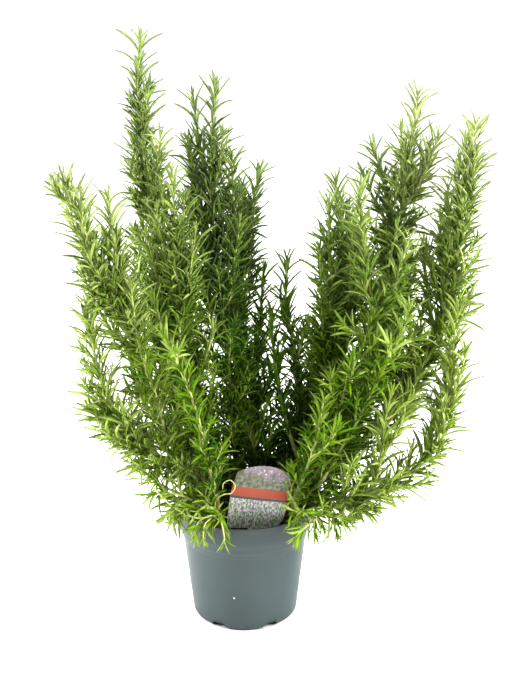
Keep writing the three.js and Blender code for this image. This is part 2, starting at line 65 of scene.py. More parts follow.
POT_HEIGHT = 131
RIM_RADIUS = 75
RIM_BOTTOM = 112  # underside of the straight rim band
RIM_SLOPE = (107, 73)  # height and radius of a place on the slope under the rim
SHOULDER_RADIUS = 67.6
SHOULDER_HEIGHT = 92
COLLAR_HEIGHTS = (93.6, 100)  # faint mould lines round the shoulder
COLLAR_STEPS = ((-1.1, 0), (-0.4, 0.16), (0.4, 0.16), (1.1, 0))  # height and how proud it is
BODY_BOTTOM_RADIUS = 57.2
BODY_BOTTOM = 5
FOOT_RADIUS = 52
FOOT_INNER_RADIUS = 47
FOOT_ROUNDING = ((0.6, 0.25), (2.2, 0.9), (3.6, 1.9), (4.6, 3.2))  # out from the foot, and up
FOOT_SKIN = (4.5, 3)  # how far out the foot's outside is at a height, in the pot's material
WALL = 1.6
FLOOR_UNDERSIDE = 6
FLOOR_TOP = 8.2
PAD_RADIUS = 12  # flat pad in the middle of the underside
NOTCH_COUNT = 6
NOTCH_WIDTH = 17
NOTCH_HEIGHT = 6.4
NOTCH_REACH = 20  # length of the block that cuts a notch through the foot
NOTCH_ROUNDING = 2
DRAIN_RADIUS = 4
DRAIN_CIRCLE = 36
DRAIN_CUT = 12  # length of the rod that cuts a drain hole
POT_SEGMENTS = 160

# Small marks on the pot's wall: place, radius and colour.
POT_FLECKS = (((-11, -60.7, 42.5), 0.8, (0.90, 0.90, 0.88)),
              ((-3, -59.4, 23), 0.5, (0.012, 0.016, 0.017)),
              ((16, -57.2, 24), 0.5, (0.012, 0.016, 0.017)))
PAINTED_SHADE_HEIGHTS = (98, 118)  # painted shade: the wall is painted darker over these heights, up to the rim, where the leaves above shade it
LOW_SHADE_AND_DUST = (0, 16)  # heights over which painted shade at the foot, in a dust colour, fades out
HIGH_DIRT = (119, 131)  # heights over which dust thickens
FOOT_SHADE_TOP = 8  # painted shade inside the foot ends at this height

# ---- Soil ----

SOIL_TOP = 117
SOIL_EDGE_DROP = 3
SOIL_GAP = 0.5  # between the soil and the wall
SOIL_SEGMENTS = 132
SOIL_RINGS = 40
CRUMBS = 1500
CRUMB_SIZES = (0.6, 1.9)
LARGE_CRUMB_EVERY = 9
LARGE_CRUMB_SIZES = (1.8, 3.2)
PALE_CRUMB_EVERY = 37
CHIPS = 130
CHIP_LENGTHS = (4, 13)
FALLEN_LEAVES = 26
FALLEN_LENGTHS = (12, 22)
FALLEN_WIDTH = 1.7

# ---- Label ----

LABEL_CENTRE = (15, -42, 153)
LABEL_LEAN = 0.14  # radians, top away from the front
LABEL_TILT = 0.105  # radians, clockwise seen from the front
LABEL_THICKNESS = 0.8
LABEL_ROUNDING = 0.18
LABEL_CURL = (1.1, 30)  # its sides bend back this far at this distance from the middle
LABEL_HALF_WIDTH = 34
LABEL_TOP = 36
LABEL_STAKE_WIDTH = 12
LABEL_STAKE_TOP = -38
LABEL_STAKE_BOTTOM = -92
LABEL_POINT = 8  # length of the stake's pointed end
BAND_TOP = 10
BAND_BOTTOM = -0.4
BAND_LINE = 2.6  # width of the grey line under the band
BLOSSOM_START = 44  # blossoms set in where the height on the print and its noise reach this
BLOSSOM_SPACING = 3.6
LABEL_CLEAR_WIDTH = 49  # no leaf is in front of this middle part of the label
LABEL_CLEAR_DROP = 34
LABEL_CLEAR_TOP = 34

# ---- Plant ----

CROWN_BOTTOM = 92
CROWN_TOP = 128
CROWN_RADIUS = 4.4
LIMB_BOTTOM = 123
LIMB_RADIUS = 2.7
LIMB_RISE = 0.6  # how long a limb keeps its first direction, as a share of its reach
LIMB_RUN_IN = 0.4  # and its last direction
LIMB_OVERLAP = 1.5  # how far a limb runs on into its leafy stem

TWIG_RADIUS = 2.1  # at the woody end of a leafy stem
SHOOT_RADIUS = 1.5
SHOOT_BEND = (0.6, 0.6, 0.35)  # where a side shoot turns up, as shares of its way to the tip
SPRIG_RADIUS = 0.8
SPRIG_START = 52  # length behind the tip before the first side sprig
SPRIG_REACH = (18, 38)
SPRIG_GAP = (9, 15)
RUNNER_RADIUS = 0.9
TIP_RADIUS = 0.75
FINE_TIP_RADIUS = 0.5
PATH_STEP = 1.8  # spacing of a twig's rings

LEAF_LENGTH = 31.5
LEAF_WIDTH = 3.2
LEAF_HUG = 0.4  # radians that a leaf's root leans in to the stem
LEAF_ANGLE = 36  # degrees from the stem, on grown leaves
BUD_ANGLE = 16
OLD_ANGLE = 9  # how much further old leaves spread
BUD_LEAF_LENGTH = 12
AXIL_LEAF_LENGTH = 24
AXIL_LEAVES = (1.3, 3.4)  # leaves in each axil, near the tip and further back
AXIL_START = 10  # length behind the tip before the first cluster
SMALL_LEAF = 14  # leaves up to this length have fewer faces
NODE_SPACING = 8.2  # between leaf pairs on grown stem
BUD_SPACING = 2.6  # between leaf pairs at the very tip
OPENING = 10  # length behind the tip over which leaves open
LENGTHENING = 16  # length behind the tip over which they reach their length
YOUNG_REACH = 60  # length behind the tip over which they look young
OLD_REACH = 240  # length further back over which they grow old
BARK_REACH = 560  # and over which the stem does
BARE_START = 4
OVERHANG = 9  # how far leaves may reach past the solids' box
CLEARANCE = 1.6  # round the pot, the soil and the label
STEERING_TRIES = 8  # how often a leaf is turned to clear something
STEERING_TURN = 0.3

FIRST_SEED = 40
STEM_SEED = 60
CRUMB_SEED = 5
FALLEN_SEED = 11

# ---- Camera and light ----

CAMERA_PLACE = (23.4, -1600, 869)
CAMERA_PITCH = 19.4  # degrees below level
CAMERA_LENS = 82.16
FLOOR_SIZE = 40000
WORLD_STRENGTH = 1.32
DIM_STRENGTH = 0.12
DIM_TO_FRONT = (-0.1, -0.5)  # directions in Y and Z over which the room grows dim
DIM_UPWARD = (0.05, 0.25)
TONE_GAMMA = 0.88  # deepens the shadows, as the photograph's own tones are
TONE_EXPOSURE = 0.12
LIGHT_TARGET = (0, 0, 300)

# Soft lights: place, size across and power.
LIGHTS = {
    "left_light": ((-2000, -200, 1250), 1200, 80),
    "right_light": ((2000, -450, 1100), 1200, 90),
    "top_light": ((-500, 300, 2300), 1000, 34),
}

# Places of the woody crowns, x and y.
CROWNS = {
    "wood_left": [-34, -12],
    "wood_left_back": [-28, 14],
    "wood_middle": [-3, 28],
    "wood_middle_right": [28, 24],
    "wood_right_back": [50, 8],
    "wood_right": [40, -16],
    "wood_right_front": [46, -32],
    "wood_front_left": [-28, -42],
    "wood_back": [8, 52],
}

# Leafy stems: the crown each grows from, the points it passes through from its woody end to
# its tip, and its side shoots as [place on the stem from 0 to 1, tip x, tip y, tip z]. Some of
# the shoots are only here and not in the solids. Looks are what sets a stem apart: fresh
# is how young its leaves look, and on the low stems also painted light that lightens leaves
# sitting in shade; bushy how close together its side sprigs are, axils how full its
# clusters are, vigour how large its leaves are, droop how far they hang, and bare the length
# at its root without leaves.
STEMS = {
    "stem_left_outer": {
        "crown": "wood_left", "looks": {"fresh": 0.6, "bushy": 1.4, "vigour": 1.15, "axils": 0.8},
        "points": [[-82, -28, 205], [-90, -38, 260], [-108, -50, 325], [-128, -56, 375],
            [-142, -60, 410], [-161, -62, 462], [-176, -62, 506]],
        "shoots": [[0.42, -135, -36, 480], [0.42, -160, -70, 408], [0.3, -146, -66, 372],
            [0.52, -137, -44, 441], [0.5, -128, -56, 436], [0.32, -112, -68, 396],
            [0.46, -158, -72, 446], [0.8, -158, -72, 492], [0.62, -172, -50, 464],
            [0.86, -184, -58, 496], [0.86, -170, -70, 492], [0.9, -186, -64, 494],
            [0.45, -127, -40, 442]]},
    "stem_left_low": {
        # Its leaves are set very fresh as painted light, lightening low leaves that sit in shade.
        "crown": "wood_left", "looks": {"fresh": 0.92, "bushy": 1.6, "vigour": 1.12},
        "points": [[-86, -42, 198], [-112, -54, 226], [-132, -60, 256], [-145, -60, 292],
            [-153, -60, 331], [-154, -60, 376]],
        "shoots": [[0.1, -165, -24, 247], [0.05, -145, -80, 247], [0.3, -122, -76, 266],
            [0.02, -113, -72, 203], [0.75, -160, -50, 368], [0.25, -162, -60, 290],
            [0.02, -108, -30, 236], [0.0, -92, -52, 178], [0.1, -160, -54, 262]]},
    "stem_left_tall": {
        "crown": "wood_left_back", "looks": {"fresh": 0.28, "bushy": 1.4},
        "points": [[-40, 18, 150], [-56, 14, 215], [-66, 12, 275], [-86, 18, 370],
            [-100, 26, 470], [-107, 30, 555], [-105, 30, 630]],
        "shoots": [[0.62, -84, 0, 536], [0.6, -114, 28, 526], [0.38, -118, 56, 421],
            [0.3, -58, -4, 384], [0.75, -97, 20, 576]]},
    "stem_left_inner": {
        "crown": "wood_left_back", "looks": {"fresh": 0.32, "bushy": 1.2, "axils": 0.7},
        "points": [[-34, -2, 152], [-48, -8, 195], [-59, -12, 255], [-66, -15, 315],
            [-66, -16, 385], [-70, -14, 450], [-72, -12, 502]],
        "shoots": [[0.35, -30, -30, 341], [0.5, -50, -4, 437], [0.2, -30, 0, 284],
            [0.42, -92, -34, 376], [0.55, -52, -22, 420], [0.3, -100, -20, 352],
            [0.52, -98, -10, 430], [0.12, -86, -30, 262], [0.25, -96, -32, 310],
            [0.45, -114, -10, 404], [0.6, -84, 8, 440], [0.7, -60, -8, 474], [0.6, -88, -16, 462],
            [0.75, -84, -4, 484]]},
    "stem_middle_tall": {
        "crown": "wood_middle", "looks": {"fresh": 0.03, "bushy": 1.3, "axils": 0.8},
        "points": [[-10, 16, 160], [-13, 12, 215], [-18, 16, 300], [-27, 24, 380], [-34, 34, 450],
            [-33, 38, 520], [-29, 41, 580]],
        "shoots": [[0.7, -52, 50, 566], [0.5, -56, 62, 508], [0.7, -20, 24, 532],
            [0.32, -46, 10, 398], [0.42, -4, 16, 442], [0.6, -20, 40, 470], [0.25, -46, 34, 312],
            [0.4, -44, 30, 378], [0.45, -58, 30, 466], [0.55, -58, 44, 520]]},
    "stem_middle_back": {
        "crown": "wood_middle", "looks": {"fresh": 0.04, "bushy": 1.5},
        "points": [[-4, 42, 160], [-8, 46, 215], [-8, 46, 305], [-5, 50, 380], [5, 54, 432],
            [17, 56, 488]],
        "shoots": [[0.62, -2, 76, 467], [0.55, -12, 34, 507], [0.42, 9, 72, 401]]},
    "stem_middle_right": {
        "crown": "wood_middle", "looks": {"bushy": 0.7},
        "points": [[10, 32, 162], [10, 38, 205], [12, 58, 262], [17, 68, 322], [21, 71, 374]],
        "shoots": [[0.3, 34, 78, 267]]},
    "stem_middle_low": {
        "crown": "wood_middle_right", "looks": {"bushy": 2.2},
        "points": [[16, 16, 146], [12, 8, 172], [8, 8, 204], [5, 12, 234]],
        "shoots": [[0.2, 30, 4, 214], [0.5, 24, 8, 244], [0.05, 26, -4, 194], [0.6, -4, 14, 246]]},
    "stem_centre": {
        "crown": "wood_middle_right", "looks": {"fresh": 0.06, "bushy": 0.6, "axils": 0.85},
        "points": [[44, 34, 155], [58, 40, 215], [54, 46, 285], [45, 51, 345], [46, 53, 391]],
        "shoots": [[0.45, 64, 34, 321]]},
    "stem_centre_front": {
        "crown": "wood_middle_right", "looks": {"bushy": 0.3, "axils": 0.7, "bare": 42},
        "points": [[66, 6, 156], [57, 8, 180], [43, 14, 228], [32, 26, 295], [29, 29, 340]],
        "shoots": []},
    "stem_centre_right": {
        "crown": "wood_middle_right", "looks": {"bushy": 0.8},
        "points": [[56, 44, 160], [72, 60, 220], [76, 68, 275], [69, 70, 311]],
        "shoots": []},
    "stem_right_inner": {
        "crown": "wood_right_back", "looks": {"fresh": 0.28, "bushy": 1.5},
        "points": [[72, 14, 160], [88, 18, 210], [102, 22, 262], [111, 32, 340], [105, 37, 412],
            [96, 40, 480]],
        "shoots": [[0.4, 88, 14, 464], [0.55, 114, 8, 446], [0.25, 80, 14, 414],
            [0.6, 102, 24, 462]]},
    "stem_right_middle": {
        "crown": "wood_right_back", "looks": {"fresh": 0.36, "bushy": 1.8},
        "points": [[80, 30, 156], [122, 34, 215], [144, 40, 295], [155, 46, 360], [155, 52, 420],
            [150, 57, 470], [135, 56, 512]],
        "shoots": [[0.62, 134, 72, 429], [0.4, 176, 40, 372], [0.3, 170, 34, 320],
            [0.45, 172, 48, 398], [0.6, 158, 0, 436], [0.7, 126, 50, 486]]},
    "stem_right_tall": {
        "crown": "wood_right_back", "looks": {"fresh": 0.62, "bushy": 1.0, "vigour": 1.06},
        "points": [[84, 46, 160], [128, 68, 240], [154, 80, 320], [166, 66, 400], [168, 44, 455],
            [173, 36, 508], [180, 39, 571]],
        "shoots": [[0.64, 166, 62, 528], [0.64, 201, 28, 529], [0.55, 186, 44, 440],
            [0.3, 184, 56, 372], [0.45, 192, 44, 404], [0.66, 192, 36, 518]]},
    "stem_right_outer": {
        "crown": "wood_right", "looks": {"fresh": 0.6, "bushy": 1.3, "vigour": 1.05},
        "points": [[84, -6, 156], [138, -6, 215], [176, -4, 268], [205, 0, 326], [220, 5, 372],
            [225, 6, 425], [230, 10, 482], [237, 10, 547]],
        "shoots": [[0.6, 212, 24, 478], [0.48, 208, 40, 441], [0.6, 239, -16, 410],
            [0.5, 236, -20, 372], [0.42, 190, 30, 398], [0.5, 206, 24, 432], [0.72, 222, 14, 505],
            [0.68, 236, 2, 484], [0.2, 180, -10, 330], [0.84, 228, 16, 527], [0.8, 238, 4, 514],
            [0.5, 192, 20, 415], [0.3, 190, 20, 345], [0.45, 240, 20, 340]]},
    "stem_right_front": {
        "crown": "wood_right", "looks": {"fresh": 0.32, "bushy": 1.3},
        "points": [[74, -26, 160], [97, -36, 240], [110, -36, 286], [129, -28, 332],
            [135, -22, 358], [127, -14, 405], [120, -8, 460], [120, -4, 486]],
        "shoots": [[0.5, 171, -12, 432], [0.27, 113, -56, 303], [0.42, 104, -32, 344],
            [0.6, 124, -22, 384], [0.7, 160, -20, 372], [0.3, 176, -16, 296], [0.4, 170, -14, 340]]},
    "stem_right_centre": {
        "crown": "wood_right_front", "looks": {"fresh": 0.3, "bushy": 1.1},
        "points": [[84, -42, 174], [118, -44, 240], [142, -46, 295], [157, -42, 325],
            [168, -42, 352], [170, -42, 368]],
        "shoots": [[0.5, 150, -74, 339], [0.6, 188, -34, 334]]},
    "stem_right_low": {
        "crown": "wood_right_front",
        # Its leaves are set very fresh as painted light, lightening low leaves that sit in shade.
        "looks": {"fresh": 0.86, "bushy": 0.6, "axils": 0.55, "vigour": 1.15},
        "points": [[90, -22, 141], [118, -28, 147], [150, -34, 160], [190, -35, 193],
            [210, -34, 234], [217, -30, 275], [219, -27, 322], [223, -25, 362]],
        "shoots": [[0.42, 218, -10, 300], [0.36, 216, -50, 240], [0.55, 231, -34, 316],
            [0.3, 192, -48, 172]]},
    "stem_right_lowest": {
        "crown": "wood_right_front",
        # Its leaves are set fresh as painted light, lightening low leaves that sit in shade.
        "looks": {"fresh": 0.7, "bushy": 0.8, "axils": 0.6, "vigour": 1.1},
        "points": [[92, -42, 143], [114, -46, 150], [136, -48, 170], [146, -52, 212],
            [148, -54, 248], [153, -53, 276]],
        "shoots": [[0.3, 162, -66, 190], [0.06, 156, -64, 170], [0.8, 174, -50, 270],
            [0.05, 113, -66, 203], [0.1, 124, -70, 190], [0.02, 140, -44, 141],
            [0.6, 168, -56, 254], [0.7, 184, -36, 262], [0.8, 186, -20, 280],
            [0.75, 190, -20, 300]]},
    "stem_front_right": {
        "crown": "wood_right_front", "looks": {"fresh": 0.2, "bushy": 1.0, "axils": 0.8},
        "points": [[52, -46, 150], [64, -51, 184], [76, -56, 228], [83, -58, 271]],
        "shoots": [[0.5, 98, -78, 249]]},
    "stem_rim_right": {
        "crown": "wood_right_front", "looks": {"fresh": 0.28, "bushy": 1.6, "droop": 0.3},
        "points": [[76, -54, 140], [94, -64, 143], [110, -70, 138], [114, -71, 136]],
        "shoots": [[0.2, 92, -78, 142], [0.4, 104, -76, 147], [0.1, 84, -70, 156],
            [0.5, 110, -72, 146], [0.3, 98, -74, 127]]},
    "stem_rim_front_right": {
        "crown": "wood_right_front", "looks": {"fresh": 0.24, "bushy": 1.5, "droop": 0.45},
        "points": [[62, -52, 138], [72, -64, 143], [81, -74, 139], [83, -76, 137]],
        "shoots": [[0.3, 74, -80, 138], [0.1, 62, -70, 152], [0.2, 42, -68, 156],
            [0.05, 47, -60, 169], [0.5, 54, -90, 130]]},
    "stem_front_left": {
        "crown": "wood_front_left", "looks": {"fresh": 0.28, "bushy": 0.6, "axils": 0.7},
        "points": [[-30, -50, 162], [-40, -60, 214], [-47, -67, 256], [-58, -73, 295],
            [-72, -77, 330], [-82, -78, 351]],
        "shoots": [[0.72, -66, -92, 336]]},
    "stem_rim_left": {
        "crown": "wood_front_left", "looks": {"fresh": 0.24, "bushy": 1.6, "droop": 0.4},
        "points": [[-38, -50, 143], [-50, -60, 156], [-68, -68, 168], [-79, -71, 172]],
        "shoots": [[0.3, -62, -84, 158], [0.15, -48, -86, 158], [0.5, -76, -86, 156],
            [0.6, -70, -62, 188]]},
    "stem_rim_front_left": {
        "crown": "wood_front_left", "looks": {"fresh": 0.24, "bushy": 1.6, "droop": 0.5},
        "points": [[-26, -56, 139], [-30, -70, 146], [-38, -82, 144], [-40, -85, 140]],
        "shoots": [[0.1, -28, -84, 158], [0.2, -50, -92, 144], [0.1, -40, -72, 168],
            [0.1, -22, -80, 150]]},
    "stem_rim_far_left": {
        "crown": "wood_left", "looks": {"fresh": 0.26, "bushy": 1.6, "droop": 0.4},
        "points": [[-58, -34, 142], [-72, -48, 152], [-85, -56, 171], [-93, -59, 183]],
        "shoots": [[0.3, -80, -74, 148], [0.15, -70, -78, 146], [0.6, -98, -66, 166]]},
    "stem_back_left": {
        "crown": "wood_back", "looks": {"bushy": 1.5},
        "points": [[-28, 66, 155], [-58, 94, 225], [-70, 112, 300], [-70, 119, 380]],
        "shoots": [[0.5, -100, 124, 351]]},
    "stem_back_middle": {
        "crown": "wood_back", "looks": {"bushy": 0.4},
        "points": [[6, 72, 152], [0, 98, 215], [-6, 114, 280], [-8, 119, 340]],
        "shoots": [[0.4, 30, 120, 301]]},
    "stem_back_right": {
        "crown": "wood_back", "looks": {"bushy": 1.5},
        "points": [[44, 66, 155], [80, 96, 225], [102, 112, 300], [107, 119, 392]],
        "shoots": [[0.5, 140, 122, 371]]},
    "stem_back_far_left": {
        "crown": "wood_left_back", "looks": {"bushy": 1.5},
        "points": [[-56, 44, 148], [-92, 68, 196], [-120, 80, 250], [-128, 85, 306]],
        "shoots": []},
    "stem_back_far_right": {
        "crown": "wood_back", "looks": {},
        "points": [[66, 56, 146], [118, 78, 186], [160, 92, 240], [175, 97, 304]],
        "shoots": []},
}

# Thin shoots that stray from a stem: the bare length at their root, and the points they pass.
RUNNERS = {
    "stem_rim_left": [
        [112, [[-24, -58, 132], [-32, -84, 152], [-42, -90, 152], [-56, -88, 153], [-75, -82, 162],
               [-86, -78, 171], [-98, -70, 183], [-112, -62, 200]]]],
    "stem_rim_front_left": [
        [99, [[-30, -58, 140], [-30, -68, 160], [-22, -72, 170], [-13, -72, 172], [-9, -70, 179],
              [-14, -68, 185], [-21, -69, 182], [-22, -71, 176]]],
        [20, [[-40, -80, 148], [-48, -90, 146], [-50, -95, 136], [-49, -96, 130]]],
        [22, [[-34, -82, 148], [-40, -92, 146], [-42, -97, 136], [-41, -98, 131]]],
        [22, [[-24, -80, 146], [-22, -90, 142], [-20, -95, 132], [-20, -96, 125]]]],
}

# ---- Curves ----


def unit(vectors):
    return vectors / np.maximum(np.linalg.norm(vectors, axis=-1, keepdims=True), 1e-9)


def smooth(values):
    """Eases from 0 to 1 as values go from 0 to 1."""
    held = np.clip(values, 0, 1)
    return held * held * (3 - 2 * held)


def mix(a, b, share):
    return a + (b - a) * share


def stem_places(points, at):
    """Places on the smooth curve through points, at parameters from 0 to 1."""
    points = np.asarray(points, float)
    padded = np.vstack([2 * points[0] - points[1], points, 2 * points[-1] - points[-2]])
    spans = len(points) - 1
    at = np.clip(np.atleast_1d(at), 0, 1) * spans
    span = np.minimum(at.astype(int), spans - 1)
    t = (at - span)[:, None]
    before, start, end, after = (padded[span + i] for i in range(4))
    leave = (end - before) / 2
    arrive = (after - start) / 2
    return ((2 * t**3 - 3 * t**2 + 1) * start + (t**3 - 2 * t**2 + t) * leave
            + (3 * t**2 - 2 * t**3) * end + (t**3 - t**2) * arrive)


def bezier(controls, at):
    """Places on the Bezier curve of these control points."""
    layer = [np.asarray(c, float)[None, :] for c in controls]
    t = np.asarray(at)[:, None]
    while len(layer) > 1:
        layer = [mix(a, b, t) for a, b in zip(layer, layer[1:])]
    return layer[0]


def shoot_places(points, shoot, at):
    """A side shoot leaves its stem along a slant and then turns up to its tip."""
    place, *tip = shoot
    start = stem_places(points, place)[0]
    tip = np.array(tip, float)
    control = mix(start, tip, np.array(SHOOT_BEND))
    return bezier([start, control, tip], at)


def limb_places(crown, points, at):
    """A limb rises clear of the pot's rim and runs on into its leafy stem."""
    direction = unit(np.subtract(points[1], points[0]).astype(float))
    start = np.array([*CROWNS[crown], LIMB_BOTTOM], float)
    end = points[0] + direction * LIMB_OVERLAP
    reach = np.linalg.norm(end - start)
    rise = start + UP * LIMB_RISE * reach
    run_in = end - direction * LIMB_RUN_IN * reach
    return bezier([start, rise, run_in, end], at)


def even_path(places):
    """The same path with evenly spaced points."""
    run = np.concatenate([[0], np.cumsum(np.linalg.norm(np.diff(places, axis=0), axis=1))])
    at = np.linspace(0, run[-1], max(int(round(run[-1] / PATH_STEP)), 4) + 1)
    return np.column_stack([np.interp(at, run, places[:, i]) for i in range(3)])


class Path:
    """An evenly spaced path with its length and a frame across it that doesn't twist."""

    def __init__(self, places):
        self.places = even_path(np.asarray(places, float))
        steps = np.linalg.norm(np.diff(self.places, axis=0), axis=1)
        self.run = np.concatenate([[0], np.cumsum(steps)])
        self.length = self.run[-1]
        self.along = unit(np.gradient(self.places, axis=0))
        helper = np.eye(3)[np.argmin(np.abs(self.along[0]))]
        across = [unit(np.cross(self.along[0], helper))]
        for direction in self.along[1:]:
            kept = across[-1] - direction * (across[-1] @ direction)
            across.append(unit(kept))
        self.across = np.array(across)

    def at(self, run):
        """Places, directions and the two vectors across, at lengths along the path."""
        place, along, across = (
            np.stack([np.interp(run, self.run, values[:, i]) for i in range(3)], axis=-1)
            for values in (self.places, self.along, self.across))
        along = unit(along)
        across = unit(across - along * np.sum(across * along, axis=-1, keepdims=True))
        return place, along, across, np.cross(along, across)


def turned(first, second, angle):
    """Two coordinates after a turn in their plane, by an angle in radians."""
    cosine, sine = math.cos(angle), math.sin(angle)
    return first * cosine - second * sine, first * sine + second * cosine


# ---- Surfaces ----


class Surface:
    """Collects points, faces and values at points, and makes one object of them."""

    def __init__(self):
        self.points = []
        self.faces = []
        self.corner_uvs = []
        self.values = {}
        self.count = 0

    def add(self, points, faces, uvs=None, **values):
        """Adds points, faces as rows of their indices, and values of 4 numbers for each point."""
        self.points.append(np.asarray(points, float))
        self.faces.append(np.asarray(faces) + self.count)
        if uvs is not None:
            self.corner_uvs.append(uvs)
        for name, value in values.items():
            rows = np.broadcast_to(np.asarray(value, float), (len(points), 4))
            self.values.setdefault(name, []).append(rows)
        self.count += len(points)

    def build(self, name, material, nodes, slot):
        """Makes the object, which rides on the plant's one body and stands for CAD nodes."""
        mesh = bpy.data.meshes.new(name)
        points = np.vstack(self.points) * MM
        sizes = np.concatenate([np.full(len(f), f.shape[1]) for f in self.faces])
        corners = np.concatenate([f.ravel() for f in self.faces])
        mesh.vertices.add(len(points))
        mesh.vertices.foreach_set("co", points.astype(np.float32).ravel())
        mesh.loops.add(len(corners))
        mesh.loops.foreach_set("vertex_index", corners.astype(np.int32))
        mesh.polygons.add(len(sizes))
        starts = np.concatenate([[0], np.cumsum(sizes)[:-1]])
        mesh.polygons.foreach_set("loop_start", starts.astype(np.int32))
        mesh.polygons.foreach_set("use_smooth", np.ones(len(sizes), bool))
        for key, rows in self.values.items():
            layer = mesh.attributes.new(key, "FLOAT_COLOR", "POINT")
            layer.data.foreach_set("color", np.vstack(rows).astype(np.float32).ravel())
        mesh.update(calc_edges=True)
        if self.corner_uvs:
            layer = mesh.uv_layers.new(name="OFBake")
            uvs = np.concatenate(self.corner_uvs).astype(np.float32)
            layer.data.foreach_set("uv", uvs.ravel())
        mesh.validate()
        return place_piece(new_object(name, mesh), material, nodes)


def new_object(name, data):
    made = bpy.data.objects.new(name, data)
    bpy.context.scene.collection.objects.link(made)
    return made


def place_piece(piece, material, nodes):
    """Puts a piece on the plant's one body, in place of CAD nodes."""
    piece.data.materials.append(material)
    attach(piece, "root")
    if nodes:
        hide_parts(*nodes)
    return piece


def ring_faces(rings, sides):
    """The faces of a tube whose points are rows of rings."""
    ring, side = np.meshgrid(np.arange(rings - 1), np.arange(sides), indexing="ij")
    low = ring * sides
    after = (side + 1) % sides
    faces = np.stack([low + side, low + after, low + sides + after, low + sides + side], axis=-1)
    return faces.reshape(-1, 4)


def cap_faces(sides, first, facing_back):
    """Closes a ring of an even number of points with four-sided faces."""
    faces = [[i, i + 1, sides - 2 - i, sides - 1 - i] for i in range(sides // 2 - 1)]
    faces = np.array(faces) + first
    return faces[:, ::-1] if facing_back else faces


def cap_steps(sides):
    """The start and end of each face of a cap, as shares of the cap."""
    edges = np.arange(sides // 2) / (sides // 2 - 1)
    return list(zip(edges, edges[1:]))


def strip_uvs(rings, sides, row, rows):
    """Gives a tube its own strip of a square map: its run to the right, its sides up."""
    ring, side = np.meshgrid(np.arange(rings - 1), np.arange(sides), indexing="ij")
    u = np.stack([ring, ring, ring + 1, ring + 1], axis=-1) / (rings - 1)
    v = np.stack([side, side + 1, side + 1, side], axis=-1) / sides
    body = np.stack([0.02 + u * 0.94, 0.06 + v * 0.88], axis=-1).reshape(-1, 4, 2)
    caps = [[[left, low], [left + 0.01, low], [left + 0.01, high], [left, high]]
            for left in (0.0, 0.98) for low, high in cap_steps(sides)]
    uvs = np.concatenate([body, np.array(caps) * (1, 0.88) + (0, 0.06)])
    return ((uvs + (0, row)) / (1, rows)).reshape(-1, 2)


def add_tube(surface, path, radii, sides, look, strip, squareness=0.0, relief=None):
    """A twig round a path. look is (age, tone), and strip its (row, rows) in the map.

    Age and two coordinates round the twig are kept at the points as Bark, and the length
    along it and its tone as Run.
    """
    turn = np.arange(sides) * 2 * math.pi / sides
    rings = len(path.places)
    radius = np.broadcast_to(np.asarray(radii, float), (rings,))[:, None]
    square = np.broadcast_to(np.asarray(squareness, float), (rings,))[:, None]
    radius = radius * (1 + square * np.cos(4 * turn))
    if relief is not None:
        radius = radius + relief
    second = np.cross(path.along, path.across)
    points = (path.places[:, None, :]
              + path.across[:, None, :] * (radius * np.cos(turn))[..., None]
              + second[:, None, :] * (radius * np.sin(turn))[..., None])
    faces = np.vstack([ring_faces(rings, sides), cap_faces(sides, 0, True),
                       cap_faces(sides, (rings - 1) * sides, False)])
    age, tone = look
    bark = np.zeros((rings, sides, 4))
    bark[..., 0] = np.broadcast_to(np.asarray(age, float), (rings,))[:, None]
    bark[..., 1] = np.cos(turn) * 0.5 + 0.5
    bark[..., 2] = np.sin(turn) * 0.5 + 0.5
    run = np.zeros((rings, sides, 4))
    run[..., 0] = path.run[:, None] * 0.001
    run[..., 1] = tone
    surface.add(points.reshape(-1, 3), faces, strip_uvs(rings, sides, *strip),
                Bark=bark.reshape(-1, 4), Run=run.reshape(-1, 4))


# ---- Leaves ----

# A leaf's stations from root to tip, each with its width as a share of the widest.
LONG_STATIONS = np.array([[0, 0.5], [0.06, 0.6], [0.14, 0.8], [0.28, 0.97], [0.48, 1],
                          [0.68, 0.92], [0.84, 0.72], [0.94, 0.46], [1, 0.12]])
SMALL_STATIONS = np.array([[0, 0.45], [0.25, 0.9], [0.6, 1], [0.9, 0.68], [1, 0.16]])

# A leaf's section: across and up as shares of its width, and how far it is the pale underside,
# or below 0 its edge. The upper side has a groove down its middle, and the edges roll under.
LONG_SECTION = np.array([[-0.5, -0.1, -1], [-0.28, 0.13, 0], [0, 0.03, 0], [0.28, 0.13, 0],
                         [0.5, -0.1, -1], [0.3, -0.3, 0.25], [0, -0.16, 1], [-0.3, -0.3, 0.25]])
SMALL_SECTION = np.array([[-0.5, -0.08, -1], [-0.22, 0.13, 0], [0.22, 0.13, 0], [0.5, -0.08, -1],
                          [0.2, -0.26, 0.8], [-0.2, -0.26, 0.8]])


def leaf_lines(leaves, stations):
    """Middle lines of leaves and their headings at stations from 0 at the root to 1."""
    heading = leaves["heading"][:, None, :]
    face = leaves["face"][:, None, :]
    side = np.cross(heading, face)
    station = stations[None, :, None]
    bend = leaves["curl"][:, None, None] * station**1.3 - LEAF_HUG * (1 - station) ** 6
    sway = leaves["sway"][:, None, None] * station
    headings = unit(heading * np.cos(bend) - face * np.sin(bend) + side * sway)
    steps = np.diff(stations)[None, :, None] * leaves["length"][:, None, None]
    moves = (headings[:, :-1] + headings[:, 1:]) / 2 * steps
    lines = leaves["root"][:, None, :] + np.cumsum(moves, axis=1)
    return np.concatenate([leaves["root"][:, None, :], lines], axis=1), headings


